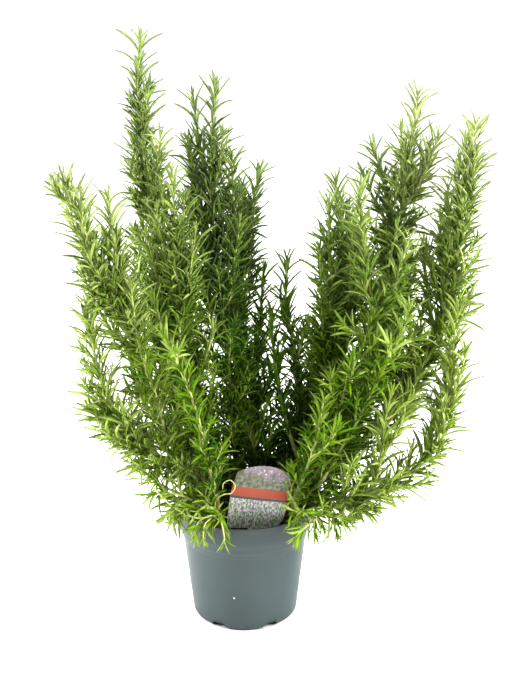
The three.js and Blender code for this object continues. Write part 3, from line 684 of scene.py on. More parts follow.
def leaf_uvs(count, rings, sides, band):
    """Gives each leaf its own cell in a band of a square map, its faces side by side in it."""
    low, high = band
    columns = max(1, math.ceil(math.sqrt(count * 2.2 / (high - low))))
    rows = math.ceil(count / columns)
    ring, side = np.meshgrid(np.arange(rings - 1), np.arange(sides), indexing="ij")
    u = np.stack([side, side + 1, side + 1, side], axis=-1) / sides
    v = np.stack([ring, ring, ring + 1, ring + 1], axis=-1) / (rings - 1) * 0.86
    body = np.stack([u, v], axis=-1).reshape(-1, 4, 2)
    caps = [[[left, low], [right, low], [right, low + 0.05], [left, low + 0.05]]
            for low in (0.88, 0.94) for left, right in cap_steps(sides)]
    one = np.concatenate([body, np.array(caps)]) * 0.94 + 0.03
    index = np.arange(count)
    corner = np.stack([index % columns, index // columns], axis=-1)[:, None, None, :]
    cell = (1 / columns, (high - low) / rows)
    return ((one[None] + corner) * cell + (0, low)).reshape(-1, 2)


def add_leaves(surface, leaves, stations, section, band=(0, 1)):
    """Adds closed leaves, each a ring of its section at every station."""
    count = len(leaves["root"])
    if count == 0:
        return
    centre, headings = leaf_lines(leaves, stations[:, 0])
    face = leaves["face"][:, None, :]
    up = unit(face - headings * np.sum(face * headings, axis=-1, keepdims=True))
    across = np.cross(headings, up)
    twist = (leaves["roll"][:, None] + leaves["twist"][:, None] * stations[None, :, 0])[..., None]
    up, across = (up * np.cos(twist) + across * np.sin(twist),
                  across * np.cos(twist) - up * np.sin(twist))
    width = leaves["width"][:, None, None, None] * stations[None, :, None, None, 1]
    points = (centre[:, :, None, :]
              + across[:, :, None, :] * section[None, None, :, None, 0] * width
              + up[:, :, None, :] * section[None, None, :, None, 1] * width)
    rings = len(stations)
    sides = len(section)
    size = rings * sides
    one = np.vstack([ring_faces(rings, sides), cap_faces(sides, 0, True),
                     cap_faces(sides, size - sides, False)])
    faces = (one[None] + (np.arange(count) * size)[:, None, None]).reshape(-1, 4)
    rows = np.zeros((count, rings, sides, 4))
    rows[..., 0] = leaves["tone"][:, None, None]
    rows[..., 1] = stations[None, :, None, 0]
    rows[..., 2] = section[None, None, :, 2]
    rows[..., 3] = leaves["youth"][:, None, None]
    surface.add(points.reshape(-1, 3), faces, leaf_uvs(count, rings, sides, band),
                Leaf=rows.reshape(-1, 4))


def joined(parts):
    """One set of leaves from several."""
    return {key: np.concatenate([part[key] for part in parts]) for key in parts[0]}


def pick(leaves, mask):
    return {key: values[mask] for key, values in leaves.items()}


# ---- Keeping clear of the pot, the soil and the label ----


def outer_radius(z):
    """Radius of the pot's outside at a height."""
    profile = [(0, FOOT_RADIUS), (BODY_BOTTOM, BODY_BOTTOM_RADIUS), (SHOULDER_HEIGHT, SHOULDER_RADIUS),
               RIM_SLOPE, (RIM_BOTTOM, RIM_RADIUS), (POT_HEIGHT, RIM_RADIUS)]
    return np.interp(z, *zip(*profile))


def soil_height(x, y):
    edge = np.hypot(x, y) / RIM_RADIUS
    return SOIL_TOP - SOIL_EDGE_DROP * edge**2


def label_place(points):
    """Points in the label's own frame: x across, y through it and z up."""
    x, y, z = np.moveaxis(np.asarray(points, float) - LABEL_CENTRE, -1, 0)
    y, z = turned(y, z, LABEL_LEAN)
    x, z = turned(x, z, LABEL_TILT)
    return np.stack([x, y, z], axis=-1)


def place_label(points):
    """From the label's own frame to its place in the pot."""
    x, y, z = points.T
    x, z = turned(x, z, -LABEL_TILT)
    y, z = turned(y, z, -LABEL_LEAN)
    return np.column_stack([x, y, z]) + LABEL_CENTRE


def touches(points):
    """Which points are in the pot's wall or the soil, and which are in the label."""
    x, y, z = np.moveaxis(points, -1, 0)
    radius = np.hypot(x, y)
    outer = outer_radius(z)
    in_wall = ((z < POT_HEIGHT + CLEARANCE) & (radius < outer + CLEARANCE)
               & (radius > outer - WALL - CLEARANCE))
    in_soil = (radius < outer) & (z < soil_height(x, y) + CLEARANCE)
    across, through, up = np.moveaxis(label_place(points), -1, 0)
    in_label = ((np.abs(through) < CLEARANCE) & (np.abs(across) < LABEL_HALF_WIDTH)
                & (up < LABEL_TOP))
    return in_wall | in_soil, in_label


def hides_label(points):
    """Which points are close in front of the label's print."""
    across, through, up = np.moveaxis(label_place(points), -1, 0)
    return ((through < 0) & (np.abs(across) < LABEL_CLEAR_WIDTH / 2)
            & (up > -LABEL_CLEAR_DROP) & (up < LABEL_CLEAR_TOP))


def outside(points):
    """Which points are past the box that the plant may fill."""
    low, high = (np.array(corner) / MM for corner in frame_box)
    return ((points < low - OVERHANG) | (points > high + OVERHANG)).any(axis=-1)


def steer_clear(leaves):
    """Turns leaves up, or off the label, until they are clear, and drops those that never are."""
    stations = np.array([0, 0.3, 0.55, 0.8, 1])
    attempt = 0
    while True:
        lines, _ = leaf_lines(leaves, stations)
        in_pot, in_label = touches(lines)
        bad_pot = in_pot[:, 1:].any(axis=1)
        bad_label = in_label[:, 1:].any(axis=1)
        lost = (hides_label(lines) | outside(lines)).any(axis=1)
        bad = bad_pot | bad_label
        if not bad.any() or attempt == STEERING_TRIES:
            return pick(leaves, ~(bad | lost))
        attempt += 1
        away = np.zeros_like(leaves["root"])
        away[bad_pot] += UP * STEERING_TURN
        depth = label_place(leaves["root"])[:, 1]
        away[bad_label, Y] += STEERING_TURN * np.sign(depth[bad_label])
        leaves["heading"] = unit(leaves["heading"] + away)
        turned = np.cross(np.cross(leaves["heading"], leaves["face"]), leaves["heading"])
        leaves["face"] = np.where(bad[:, None], unit(turned), leaves["face"])
        leaves["curl"] = np.where(bad, leaves["curl"] * 0.6, leaves["curl"])


# ---- Growing ----


def leaves_at(branch, distance, turn, angle, lift, random, **values):
    """Leaves of a branch, one at each distance behind its tip, the upper sides to the stem."""
    path = branch["path"]
    place, along, across, second = path.at(path.length - distance)
    outward = across * np.cos(turn)[:, None] + second * np.sin(turn)[:, None]
    angle = angle[:, None]
    heading = unit(along * np.cos(angle) + outward * np.sin(angle) + UP * (0.1 - branch["droop"]))
    face = along * np.sin(angle) - outward * np.cos(angle)
    face = unit(face - heading * np.sum(face * heading, axis=1, keepdims=True))
    thickness = branch["radius"](distance) * 0.6
    count = len(distance)
    return {"root": place + outward * thickness[:, None] + along * lift[:, None],
            "heading": heading, "face": face, "sway": random.normal(0, 0.11, count),
            "roll": random.normal(0, 0.4, count), "twist": random.normal(0, 0.3, count),
            "tone": random.uniform(0, 1, count), **values}


def node_distances(branch, random):
    """Distances of the leaf pairs from the tip, close together in the bud."""
    distances = []
    distance = 0.8
    while distance < branch["path"].length - branch["bare"]:
        distances.append(distance)
        spacing = mix(BUD_SPACING, NODE_SPACING * branch["vigour"], smooth(distance / OPENING))
        distance += spacing * random.uniform(0.85, 1.15)
    return np.array(distances)


def leaves_on(branch, random):
    """The leaf pairs of a branch, each pair across the last, and the clusters in their axils."""
    distances = node_distances(branch, random)
    pairs = len(distances)
    quarters = random.uniform(0, math.pi) + np.cumsum(math.pi / 2 + random.normal(0, 0.12, pairs))
    distance = np.repeat(distances, 2)
    count = 2 * pairs
    turn = np.repeat(quarters, 2) + np.tile([0, math.pi], pairs) + random.normal(0, 0.14, count)
    vigour = branch["vigour"]
    open_share = smooth(distance / OPENING)
    long_share = smooth((distance + 2) / LENGTHENING)
    depth = distance + branch["depth"]
    old = smooth((depth - YOUNG_REACH) / OLD_REACH)
    # Youth takes in the stem's freshness, which on the low stems is also painted light.
    youth = np.exp(-depth / YOUNG_REACH) * 0.5 + branch["fresh"] + random.normal(0, 0.06, count)
    angle = np.radians(mix(BUD_ANGLE, LEAF_ANGLE, open_share) + OLD_ANGLE * old
                       + random.normal(0, 6.5, count))
    pairs_of_leaves = leaves_at(
        branch, distance, turn, angle, np.zeros(count), random,
        length=mix(BUD_LEAF_LENGTH, LEAF_LENGTH, long_share) * vigour
        * random.uniform(0.84, 1.1, count),
        width=LEAF_WIDTH * mix(0.6, 1, long_share) * vigour * random.uniform(0.86, 1.1, count),
        curl=mix(random.normal(0.5, 0.25, count), random.normal(0.35, 0.4, count), old),
        youth=np.clip(youth, 0, 1))
    share = smooth((distance - 18) / 80)
    clusters = random.poisson(mix(*AXIL_LEAVES, share) * branch["axils"] * (distance > AXIL_START))
    of = np.repeat(np.arange(count), clusters)
    share = share[of]
    some = len(of)
    in_axils = leaves_at(
        branch, distance[of], turn[of] + random.normal(0, 1, some) * mix(0.25, 0.6, share),
        np.radians(np.maximum(5, mix(24, 38, share) + random.normal(0, 8, some))),
        random.uniform(0, 1, some) * mix(2, 6, share), random,
        length=AXIL_LEAF_LENGTH * mix(0.72, 1, share) * random.uniform(0.55, 1.15, some) * vigour,
        width=LEAF_WIDTH * random.uniform(0.66, 0.95, some),
        curl=random.normal(0.3, 0.25, some),
        youth=np.clip(youth[of] + 0.1 + random.normal(0, 0.08, some), 0, 1))
    return pairs_of_leaves, in_axils


def taper(base, tip, length):
    """Radius by distance from the tip."""
    return lambda distance: mix(tip, base, np.clip(distance / length, 0, 1) ** 0.75)


def make_branch(places, base_radius, tip_radius, **values):
    path = Path(places)
    return {"path": path, "radius": taper(base_radius, tip_radius, path.length),
            "bare": BARE_START, "depth": 0.0, "vigour": 1.0, "axils": 1.0, "fresh": 0.0,
            "droop": 0.0, "bushy": 1.0, **values}


def sprigs_on(branch, random, first):
    """Short side sprigs in the axils, from a distance behind the tip to the branch's base."""
    path = branch["path"]
    sprigs = []
    distance = first * random.uniform(0.85, 1.2)
    while distance < path.length - 4:
        place, along, across, second = path.at(path.length - distance)
        turn = random.uniform(0, 2 * math.pi)
        outward = across * math.cos(turn) + second * math.sin(turn)
        depth = distance + branch["depth"]
        reach = random.uniform(*SPRIG_REACH) * float(mix(0.65, 1.5, smooth((depth - 50) / 200)))
        lift = UP * (0.3 - branch["droop"])
        middle = place + (along * 0.45 + outward * 0.6) * reach * 0.5
        tip = middle + unit(along * 0.75 + outward * 0.4 + lift) * reach * 0.6
        places = bezier([place, middle, tip], np.linspace(0, 1, 10))
        hit = touches(places[4:])
        shut_out = hit[0] | hit[1] | hides_label(places[4:]) | outside(places[4:])
        if not shut_out.any():
            sprigs.append(make_branch(
                places, SPRIG_RADIUS, FINE_TIP_RADIUS, bare=2, vigour=random.uniform(0.72, 0.95),
                axils=0.35, fresh=branch["fresh"] + random.uniform(0, 0.14),
                depth=min(depth, 90), droop=branch["droop"]))
        distance += random.uniform(*SPRIG_GAP) / branch["bushy"]
    return sprigs


def add_twig(surface, branch, strip, random):
    """The twig itself: square and green when young, round and brown when old."""
    path = branch["path"]
    distance = path.length - path.run
    old = np.clip((distance + branch["depth"] - YOUNG_REACH) / BARK_REACH, 0, 1)
    # Freshness keeps the bark young and pale; on the low stems this is partly painted light.
    age = old * (1 - branch["fresh"])
    node = 0.2 * np.cos(distance / NODE_SPACING * 2 * math.pi)
    radii = branch["radius"](distance) + np.maximum(node, 0) * smooth(distance / 40)
    add_tube(surface, path, radii, 8, (age, random.uniform(0, 1)), strip,
             squareness=0.08 * (1 - age))


def grow_stem(name, stem, seed):
    """One leafy stem: its twigs in one piece and its leaves in another."""
    random = np.random.default_rng(seed)
    at = np.linspace(0, 1, 160)
    points = stem["points"]
    looks = stem["looks"]
    main = make_branch(stem_places(points, at), TWIG_RADIUS, TIP_RADIUS, **looks)
    shoots = [make_branch(shoot_places(points, shoot, at), SHOOT_RADIUS, TIP_RADIUS, **looks)
              for shoot in stem["shoots"]]
    limb = make_branch(limb_places(stem["crown"], np.array(points, float), at[::4]), LIMB_RADIUS,
                       TWIG_RADIUS, **{**looks, "depth": main["path"].length})
    branches = [main, *shoots]
    for branch in [main, *shoots]:
        branches += sprigs_on(branch, random, SPRIG_START)
    branches += sprigs_on(limb, random, 4)
    for bare, places in RUNNERS.get(name, ()):
        branches.append(make_branch(stem_places(places, at), RUNNER_RADIUS, FINE_TIP_RADIUS,
                                    bare=bare, axils=0.2, vigour=0.85, fresh=0.25))
    twigs = Surface()
    long_leaves = []
    small_leaves = []
    for number, branch in enumerate(branches):
        add_twig(twigs, branch, (number, len(branches)), random)
        pairs, in_axils = leaves_on(branch, random)
        is_long = pairs["length"] > SMALL_LEAF
        long_leaves.append(pick(pairs, is_long))
        small_leaves += [pick(pairs, ~is_long), in_axils]
    leaves = Surface()
    add_leaves(leaves, steer_clear(joined(long_leaves)), LONG_STATIONS, LONG_SECTION, (0, 0.5))
    add_leaves(leaves, steer_clear(joined(small_leaves)), SMALL_STATIONS, SMALL_SECTION, (0.5, 1))
    short = name.removeprefix("stem_")
    leaves.build("leaves_" + short, leaf_material, [name], "leaves")
    twigs.build("twigs_" + short, bark_material, [name], "wood")


# ---- Crowns ----


def limb_paths(crown):
    at = np.linspace(0, 1, 60)
    return [Path(limb_places(crown, np.array(stem["points"], float), at))
            for stem in STEMS.values() if stem["crown"] == crown]


def roughened(path, sides, seed, depth):
    """Uneven growth round a woody path, as an offset to its radius."""
    turn = np.arange(sides) * 2 * math.pi / sides
    rows = np.zeros((len(path.places), sides))
    for i, place in enumerate(path.places):
        for j, angle in enumerate(turn):
            spot = Vector((math.cos(angle) * 1.6, math.sin(angle) * 1.6, place[Z] * 0.09 + seed))
            fine = Vector((math.cos(angle) * 4, math.sin(angle) * 4, place[Z] * 0.3 + seed))
            rows[i, j] = depth * (noise.noise(spot) + 0.4 * noise.noise(fine))
    return rows


def make_crown(name, seed):
    """A woody crown: a gnarled trunk out of the soil, and its limbs up to the leafy stems."""
    random = np.random.default_rng(seed)
    x, y = CROWNS[name]
    wood = Surface()
    low = np.array([x, y, CROWN_BOTTOM], float)
    trunk = Path(np.linspace(low, low + UP * (CROWN_TOP - CROWN_BOTTOM + 2), 12))
    height = trunk.places[:, Z]
    flare = 1.4 * np.exp(-np.maximum(height - SOIL_TOP + 2, 0) / 3)
    close = 1 - 0.45 * smooth((height - CROWN_TOP + 5) / 7)
    radii = (CROWN_RADIUS - 0.5) * close + flare
    limbs = limb_paths(name)
    add_tube(wood, trunk, radii, 16, (1.0, random.uniform(0, 1)), (0, len(limbs) + 1),
             relief=roughened(trunk, 16, seed, 0.8))
    for number, path in enumerate(limbs):
        share = path.run / path.length
        radii = mix(LIMB_RADIUS + 0.5, TWIG_RADIUS, smooth(share * 1.3))
        add_tube(wood, path, radii, 12, (mix(0.95, 0.6, share), random.uniform(0, 1)),
                 (number + 1, len(limbs) + 1), relief=roughened(path, 12, seed + 7, 0.35))
    wood.build("bark_" + name.removeprefix("wood_"), bark_material, [name], "wood")


# ---- Soil ----


def lathe(profile, segments):
    """A surface of revolution, open where its profile starts and ends."""
    turn = np.arange(segments) * 2 * math.pi / segments
    profile = np.array(profile, float)
    points = np.stack([profile[:, :1] * np.cos(turn), profile[:, :1] * np.sin(turn),
                       np.broadcast_to(profile[:, 1:], (len(profile), segments))], axis=-1)
    return points.reshape(-1, 3), ring_faces(len(profile), segments)


def inner_radius(z):
    return outer_radius(z) - WALL


def soil_relief(x, y):
    """Height of the loose surface over the mean."""
    coarse = noise.noise(Vector((x * 0.05, y * 0.05, 3)))
    lumps = noise.noise(Vector((x * 0.16, y * 0.16, 8)))
    grit = noise.noise(Vector((x * 0.6, y * 0.6, 5)))
    return 2.0 * coarse + 1.5 * lumps + 0.8 * grit


def make_soil():
    """The filled pot: its sides follow the wall, and its top is loose and uneven."""
    edge = inner_radius(RIM_BOTTOM) - SOIL_GAP
    sides = [(inner_radius(FLOOR_TOP) - SOIL_GAP, FLOOR_TOP + SOIL_GAP),
             (inner_radius(SHOULDER_HEIGHT) - SOIL_GAP, SHOULDER_HEIGHT), (edge, RIM_BOTTOM)]
    top = [(edge * (1 - i / SOIL_RINGS), SOIL_TOP) for i in range(SOIL_RINGS)]
    points, faces = lathe([*sides, *top], SOIL_SEGMENTS)
    for point in points:
        if point[Z] > SOIL_TOP - 1:
            x, y = point[X], point[Y]
            point[Z] = soil_height(x, y) + soil_relief(x, y)
    soil = Surface()
    soil.add(points, faces)
    return soil


def icosphere():
    shape = bmesh.new()
    bmesh.ops.create_icosphere(shape, subdivisions=2, radius=1)
    points = np.array([v.co[:] for v in shape.verts])
    faces = np.array([[v.index for v in f.verts] for f in shape.faces])
    shape.free()
    return points, faces


def spot_on_soil(random):
    """A random place on the soil, clear of the pot's wall."""
    radius = (inner_radius(RIM_BOTTOM) - 2.5) * math.sqrt(random.uniform(0, 1))
    turn = random.uniform(0, 2 * math.pi)
    x, y = radius * math.cos(turn), radius * math.sin(turn)
    return np.array([x, y, soil_height(x, y) + soil_relief(x, y)])


def turned_axes(random):
    """Three axes at right angles, turned at random."""
    first = unit(random.normal(size=3))
    second = unit(np.cross(first, random.normal(size=3)))
    return np.array([first, second, np.cross(first, second)])


def make_crumbs():
    """Loose crumbs of peat, chips of bark and a few pale grains on the soil."""
    random = np.random.default_rng(CRUMB_SEED)
    points, faces = icosphere()
    crumbs = Surface()
    for i in range(CRUMBS):
        pale = i % PALE_CRUMB_EVERY == 0
        size = random.uniform(*(CRUMB_SIZES if i % LARGE_CRUMB_EVERY else LARGE_CRUMB_SIZES))
        shape = points * (1 + 0.22 * random.normal(size=(len(points), 1)))
        shape = shape * random.uniform(0.6, 1.1, 3) * size
        place = spot_on_soil(random) + UP * size * random.uniform(-0.1, 0.5)
        look = [random.uniform(0.85, 1) if pale else random.uniform(0, 0.55), 0, 0, 1]
        crumbs.add(shape @ turned_axes(random) + place, faces, Crumb=look)
    for _ in range(CHIPS):
        length = random.uniform(*CHIP_LENGTHS)
        size = np.array([length, random.uniform(0.8, 2.2), random.uniform(0.4, 1)]) / 2
        shape = points * (1 + 0.12 * random.normal(size=(len(points), 1))) * size
        axes = turned_axes(random)
        axes[:, Z] *= 0.25
        place = spot_on_soil(random) + UP * 0.9
        crumbs.add(shape @ unit(axes) + place, faces, Crumb=[random.uniform(0.5, 0.8), 0, 0, 1])
    crumbs.build("soil_crumbs", crumb_material, (), "soil")


def make_fallen_leaves():
    """Dry leaves that lie on the soil."""
    random = np.random.default_rng(FALLEN_SEED)
    count = FALLEN_LEAVES
    turn = random.uniform(0, 2 * math.pi, count)
    slope = random.uniform(-0.05, 0.12, count)
    roots = np.array([spot_on_soil(random) for _ in range(count)]) * [0.85, 0.85, 1] + UP * 1.6
    leaves = {"root": roots, "heading": unit(np.stack([np.cos(turn), np.sin(turn), slope], axis=1)),
              "face": np.tile(UP, (count, 1)), "length": random.uniform(*FALLEN_LENGTHS, count),
              "sway": random.normal(0, 0.2, count), "roll": random.normal(0, 0.6, count),
              "width": np.full(count, FALLEN_WIDTH), "twist": random.normal(0, 0.8, count),
              "curl": random.normal(0, 0.2, count), "tone": random.uniform(0, 1, count),
              "youth": np.zeros(count)}
    fallen = Surface()
    add_leaves(fallen, steer_clear(leaves), LONG_STATIONS, LONG_SECTION)
    fallen.build("fallen_leaves", dry_leaf_material, (), "leaves")


# ---- Pot ----


def arc(centre, radius, start, end, steps):
    """Points on an arc in the profile's plane, in degrees from straight out."""
    return [(centre[0] + radius * math.cos(math.radians(a)),
             centre[1] + radius * math.sin(math.radians(a)))
            for a in np.linspace(start, end, steps)]


def pot_profile():
    """The pot's wall from the pad of its underside, over the rim, to the floor's top inside."""
    lip = WALL / 2
    return [
        (PAD_RADIUS - 0.5, 0), (PAD_RADIUS, 0.2), (PAD_RADIUS + 2, FLOOR_UNDERSIDE),
        (FOOT_INNER_RADIUS - 1, FLOOR_UNDERSIDE), (FOOT_INNER_RADIUS - 0.2, 0.4),
        (FOOT_INNER_RADIUS + 0.4, 0), (FOOT_RADIUS - 0.8, 0),
        *[(FOOT_RADIUS + out, up) for out, up in FOOT_ROUNDING],
        (BODY_BOTTOM_RADIUS - 0.1, BODY_BOTTOM - 0.4),
        (BODY_BOTTOM_RADIUS + 0.2, BODY_BOTTOM + 1.2),
        *[(float(outer_radius(z)), z) for z in range(12, SHOULDER_HEIGHT - 5, 8)],
        (outer_radius(SHOULDER_HEIGHT - 2), SHOULDER_HEIGHT - 2),
        *[(outer_radius(line + step) + proud, line + step) for line in COLLAR_HEIGHTS
          for step, proud in COLLAR_STEPS],
        (outer_radius(RIM_SLOPE[0] - 2), RIM_SLOPE[0] - 2), (RIM_SLOPE[1], RIM_SLOPE[0]),
        (RIM_RADIUS - 0.7, RIM_BOTTOM - 2.2), (RIM_RADIUS - 0.2, RIM_BOTTOM - 0.4),
        (RIM_RADIUS, RIM_BOTTOM + 2), (RIM_RADIUS, RIM_BOTTOM + 6), (RIM_RADIUS, POT_HEIGHT - 5),
        (RIM_RADIUS, POT_HEIGHT - lip - 0.4),
        *arc((RIM_RADIUS - lip, POT_HEIGHT - lip), lip, 15, 165, 7),
        (RIM_RADIUS - WALL, POT_HEIGHT - lip - 0.6), (RIM_RADIUS - WALL, RIM_BOTTOM + 1),
        (inner_radius(RIM_BOTTOM - 2), RIM_BOTTOM - 2),
        (inner_radius(SHOULDER_HEIGHT), SHOULDER_HEIGHT),
        (inner_radius(FLOOR_TOP + 1), FLOOR_TOP + 1.2), (inner_radius(FLOOR_TOP) - 1, FLOOR_TOP)]


def cut_away(piece, cutter):
    """Cuts one object's shape out of another."""
    modifier = piece.modifiers.new("cut", "BOOLEAN")
    modifier.operation = "DIFFERENCE"
    modifier.solver = "EXACT"
    modifier.object = cutter
    with bpy.context.temp_override(object=piece, active_object=piece):
        bpy.ops.object.modifier_apply(modifier=modifier.name)
    bpy.data.objects.remove(cutter)


def notch_cutters():
    """Rounded blocks at the foot and rods through the floor, as one object."""
    shape = bmesh.new()
    for i in range(NOTCH_COUNT):
        turn = Matrix.Rotation(i * 2 * math.pi / NOTCH_COUNT, 4, "Z")
        block = bmesh.ops.create_cube(shape, size=1)["verts"]
        size = Matrix.Diagonal((NOTCH_REACH, NOTCH_WIDTH, 2 * NOTCH_HEIGHT, 1))
        at_foot = Matrix.Translation((FOOT_RADIUS, 0, 0))
        bmesh.ops.transform(shape, verts=block, matrix=at_foot @ size)
        edges = [e for e in dict.fromkeys(e for v in block for e in v.link_edges)
                 if abs(e.verts[0].co.x - e.verts[1].co.x) > 1]
        bevelled = bmesh.ops.bevel(shape, geom=edges, offset=NOTCH_ROUNDING, segments=4,
                                   affect="EDGES")
        verts = {v for f in bevelled["faces"] for v in f.verts} | {v for v in block if v.is_valid}
        bmesh.ops.transform(shape, verts=list(verts), matrix=turn)
        spot = turn @ Matrix.Translation((DRAIN_CIRCLE, 0, FLOOR_TOP - 2))
        bmesh.ops.create_cone(shape, cap_ends=True, segments=32, radius1=DRAIN_RADIUS,
                              radius2=DRAIN_RADIUS, depth=DRAIN_CUT, matrix=spot)
    bmesh.ops.scale(shape, verts=shape.verts, vec=(MM, MM, MM))
    mesh = bpy.data.meshes.new("cutter")
    shape.to_mesh(mesh)
    shape.free()
    return new_object("cutter", mesh)


def make_pot():
    pot = Surface()
    pot.add(*lathe(pot_profile(), POT_SEGMENTS))
    return pot


# ---- Label ----


def label_outline():
    """The label's outline in its own plane, x across and y up, from the middle of its band."""
    half = LABEL_STAKE_WIDTH / 2
    point = LABEL_STAKE_BOTTOM + LABEL_POINT
    at = np.linspace(0, 1, 12)
    flat = [np.array([(-half, point), (-half, LABEL_STAKE_TOP)], float),
            bezier([(-half, LABEL_STAKE_TOP), (-half - 0.3, -35), (-half - 3, -34.8)], at)[1:],
            bezier([(-26, -36.4), (-30.6, -36), (-30.6, -28)], at),
            bezier([(-30, 2), (-29.8, 4), (-25.4, 24)], at[[0, 5, 11]]),
            bezier([(-25.4, 24), (-25, 26), (-23, 27)], at[::3])[1:],
            bezier([(-23, 27), (6, 43.5), (31, 28.6)], np.linspace(0, 1, 28))[1:],
            bezier([(31, 28.6), (33.5, 27), (33.4, 25)], at[::3])[1:],
            bezier([(31.6, 2), (32, -30), (17, -32)], np.linspace(0, 1, 20)),
            bezier([(half + 3, -33.2), (half + 0.3, -34), (half, LABEL_STAKE_TOP)], at),
            np.array([(half, point), (0, LABEL_STAKE_BOTTOM)], float)]
    return np.vstack(flat)


def make_label():
    """A printed plastic label, slightly curled, with its place on the print kept at its points."""
    outline = label_outline()
    shape = bmesh.new()
    front = [shape.verts.new((x, -LABEL_THICKNESS / 2, y)) for x, y in outline]
    face = shape.faces.new(front)
    face.normal_update()
    if face.normal.y > 0:
        face.normal_flip()
    bmesh.ops.triangulate(shape, faces=[face])
    bmesh.ops.subdivide_edges(shape, edges=shape.edges[:], cuts=2, use_grid_fill=True)
    spread = bmesh.ops.extrude_face_region(shape, geom=shape.faces[:])
    moved = [v for v in spread["geom"] if isinstance(v, bmesh.types.BMVert)]
    bmesh.ops.translate(shape, verts=moved, vec=(0, LABEL_THICKNESS, 0))
    bmesh.ops.recalc_face_normals(shape, faces=shape.faces[:])
    mesh = bpy.data.meshes.new("plant_label")
    shape.to_mesh(mesh)
    shape.free()
    flat = np.array([v.co[:] for v in mesh.vertices])
    curled = flat.copy()
    bend, at_distance = LABEL_CURL
    curled[:, Y] += bend * (flat[:, X] / at_distance) ** 2
    placed = place_label(curled) * MM
    mesh.vertices.foreach_set("co", placed.ravel())
    print_place = mesh.attributes.new("Print", "FLOAT_VECTOR", "POINT")
    print_place.data.foreach_set("vector", flat.astype(np.float32).ravel())
    mesh.update()
    label = new_object("plant_label", mesh)
    edges = label.modifiers.new("edges", "BEVEL")
    edges.width = LABEL_ROUNDING * MM
    edges.segments = 2
    edges.limit_method = "ANGLE"
    place_piece(label, label_material, ["label"])


# ---- Materials ----


class Nodes:
    """Adds nodes to a tree. Inputs are numbers, colours or the outputs of other nodes."""

    def __init__(self, tree):
        self.tree = tree

    def plug(self, socket, value):
        if isinstance(value, bpy.types.NodeSocket):
            self.tree.links.new(value, socket)
        else:
            socket.default_value = value

    def node(self, kind, inputs, **settings):
        made = self.tree.nodes.new("ShaderNode" + kind)
        for key, value in settings.items():
            setattr(made, key, value)
        for socket, value in inputs.items():
            self.plug(made.inputs[socket], value)
        return made

    def split(self, vector):
        return self.node("SeparateXYZ", {0: vector}).outputs

    def maths(self, operation, a, b=0.0, c=0.0):
        return self.node("Math", {0: a, 1: b, 2: c}, operation=operation).outputs[0]

    def weighted(self, *parts):
        """The sum of values, given as pairs of a value and its weight."""
        total = 0.0
        for value, weight in parts:
            total = self.maths("MULTIPLY_ADD", value, weight, total)
        return total

    def span(self, value, low, high, start=0.0, end=1.0):
        """Takes low to high onto start to end, and holds the value there."""
        return self.node("MapRange", {"Value": value, "From Min": low, "From Max": high,
                                      "To Min": start, "To Max": end}).outputs[0]


class Look(Nodes):
    """Builds one material."""

    def __init__(self, name, **shader):
        self.material = bpy.data.materials.new(name)
        self.material.use_nodes = True
        super().__init__(self.material.node_tree)
        self.shader = self.tree.nodes["Principled BSDF"]
        for socket, value in shader.items():
            self.set(socket.replace("_", " "), value)

    def set(self, socket, value):
        self.plug(self.shader.inputs[socket], value)

    def attribute(self, name):
        """Four numbers kept at the points: three in the colour, and the last in its alpha."""
        found = self.node("Attribute", {}, attribute_name=name)
        parts = self.node("SeparateColor", {0: found.outputs["Color"]})
        return [*parts.outputs, found.outputs["Alpha"]]

    def places(self):
        return self.node("TexCoord", {}).outputs["Object"]

    def combine(self, x, y, z):
        return self.node("CombineXYZ", {0: x, 1: y, 2: z}).outputs[0]

    def noise(self, size, detail=2, places=None):
        """Cloudy values from 0 to 1, with lumps this big in millimetres, or in places' own unit."""
        vector = self.places() if places is None else places
        scale = 1 / (size * MM) if places is None else 1 / size
        return self.node("TexNoise", {"Vector": vector, "Scale": scale, "Detail": detail,
                                      "Roughness": 0.55}).outputs["Fac"]

    def ramp(self, value, stops):
        """A colour from stops of (place, red, green, blue)."""
        made = self.node("ValToRGB", {0: value})
        elements = made.color_ramp.elements
        while len(elements) < len(stops):
            elements.new(0.5)
        for element, (place, *colour) in zip(elements, stops):
            element.position = place
            element.color = (*colour, 1)
        return made.outputs["Color"]

    def blend(self, share, a, b, how="MIX"):
        made = self.node("Mix", {}, data_type="RGBA", blend_type=how)
        self.plug(made.inputs[0], share)
        self.plug(made.inputs[6], a if isinstance(a, bpy.types.NodeSocket) else (*a, 1))
        self.plug(made.inputs[7], b if isinstance(b, bpy.types.NodeSocket) else (*b, 1))
        return made.outputs[2]

    def bump(self, height, depth):
        """Relief from a height of 0 to 1, this deep in millimetres."""
        made = self.node("Bump", {"Height": height, "Distance": depth * MM, "Strength": 1.0})
        self.set("Normal", made.outputs[0])


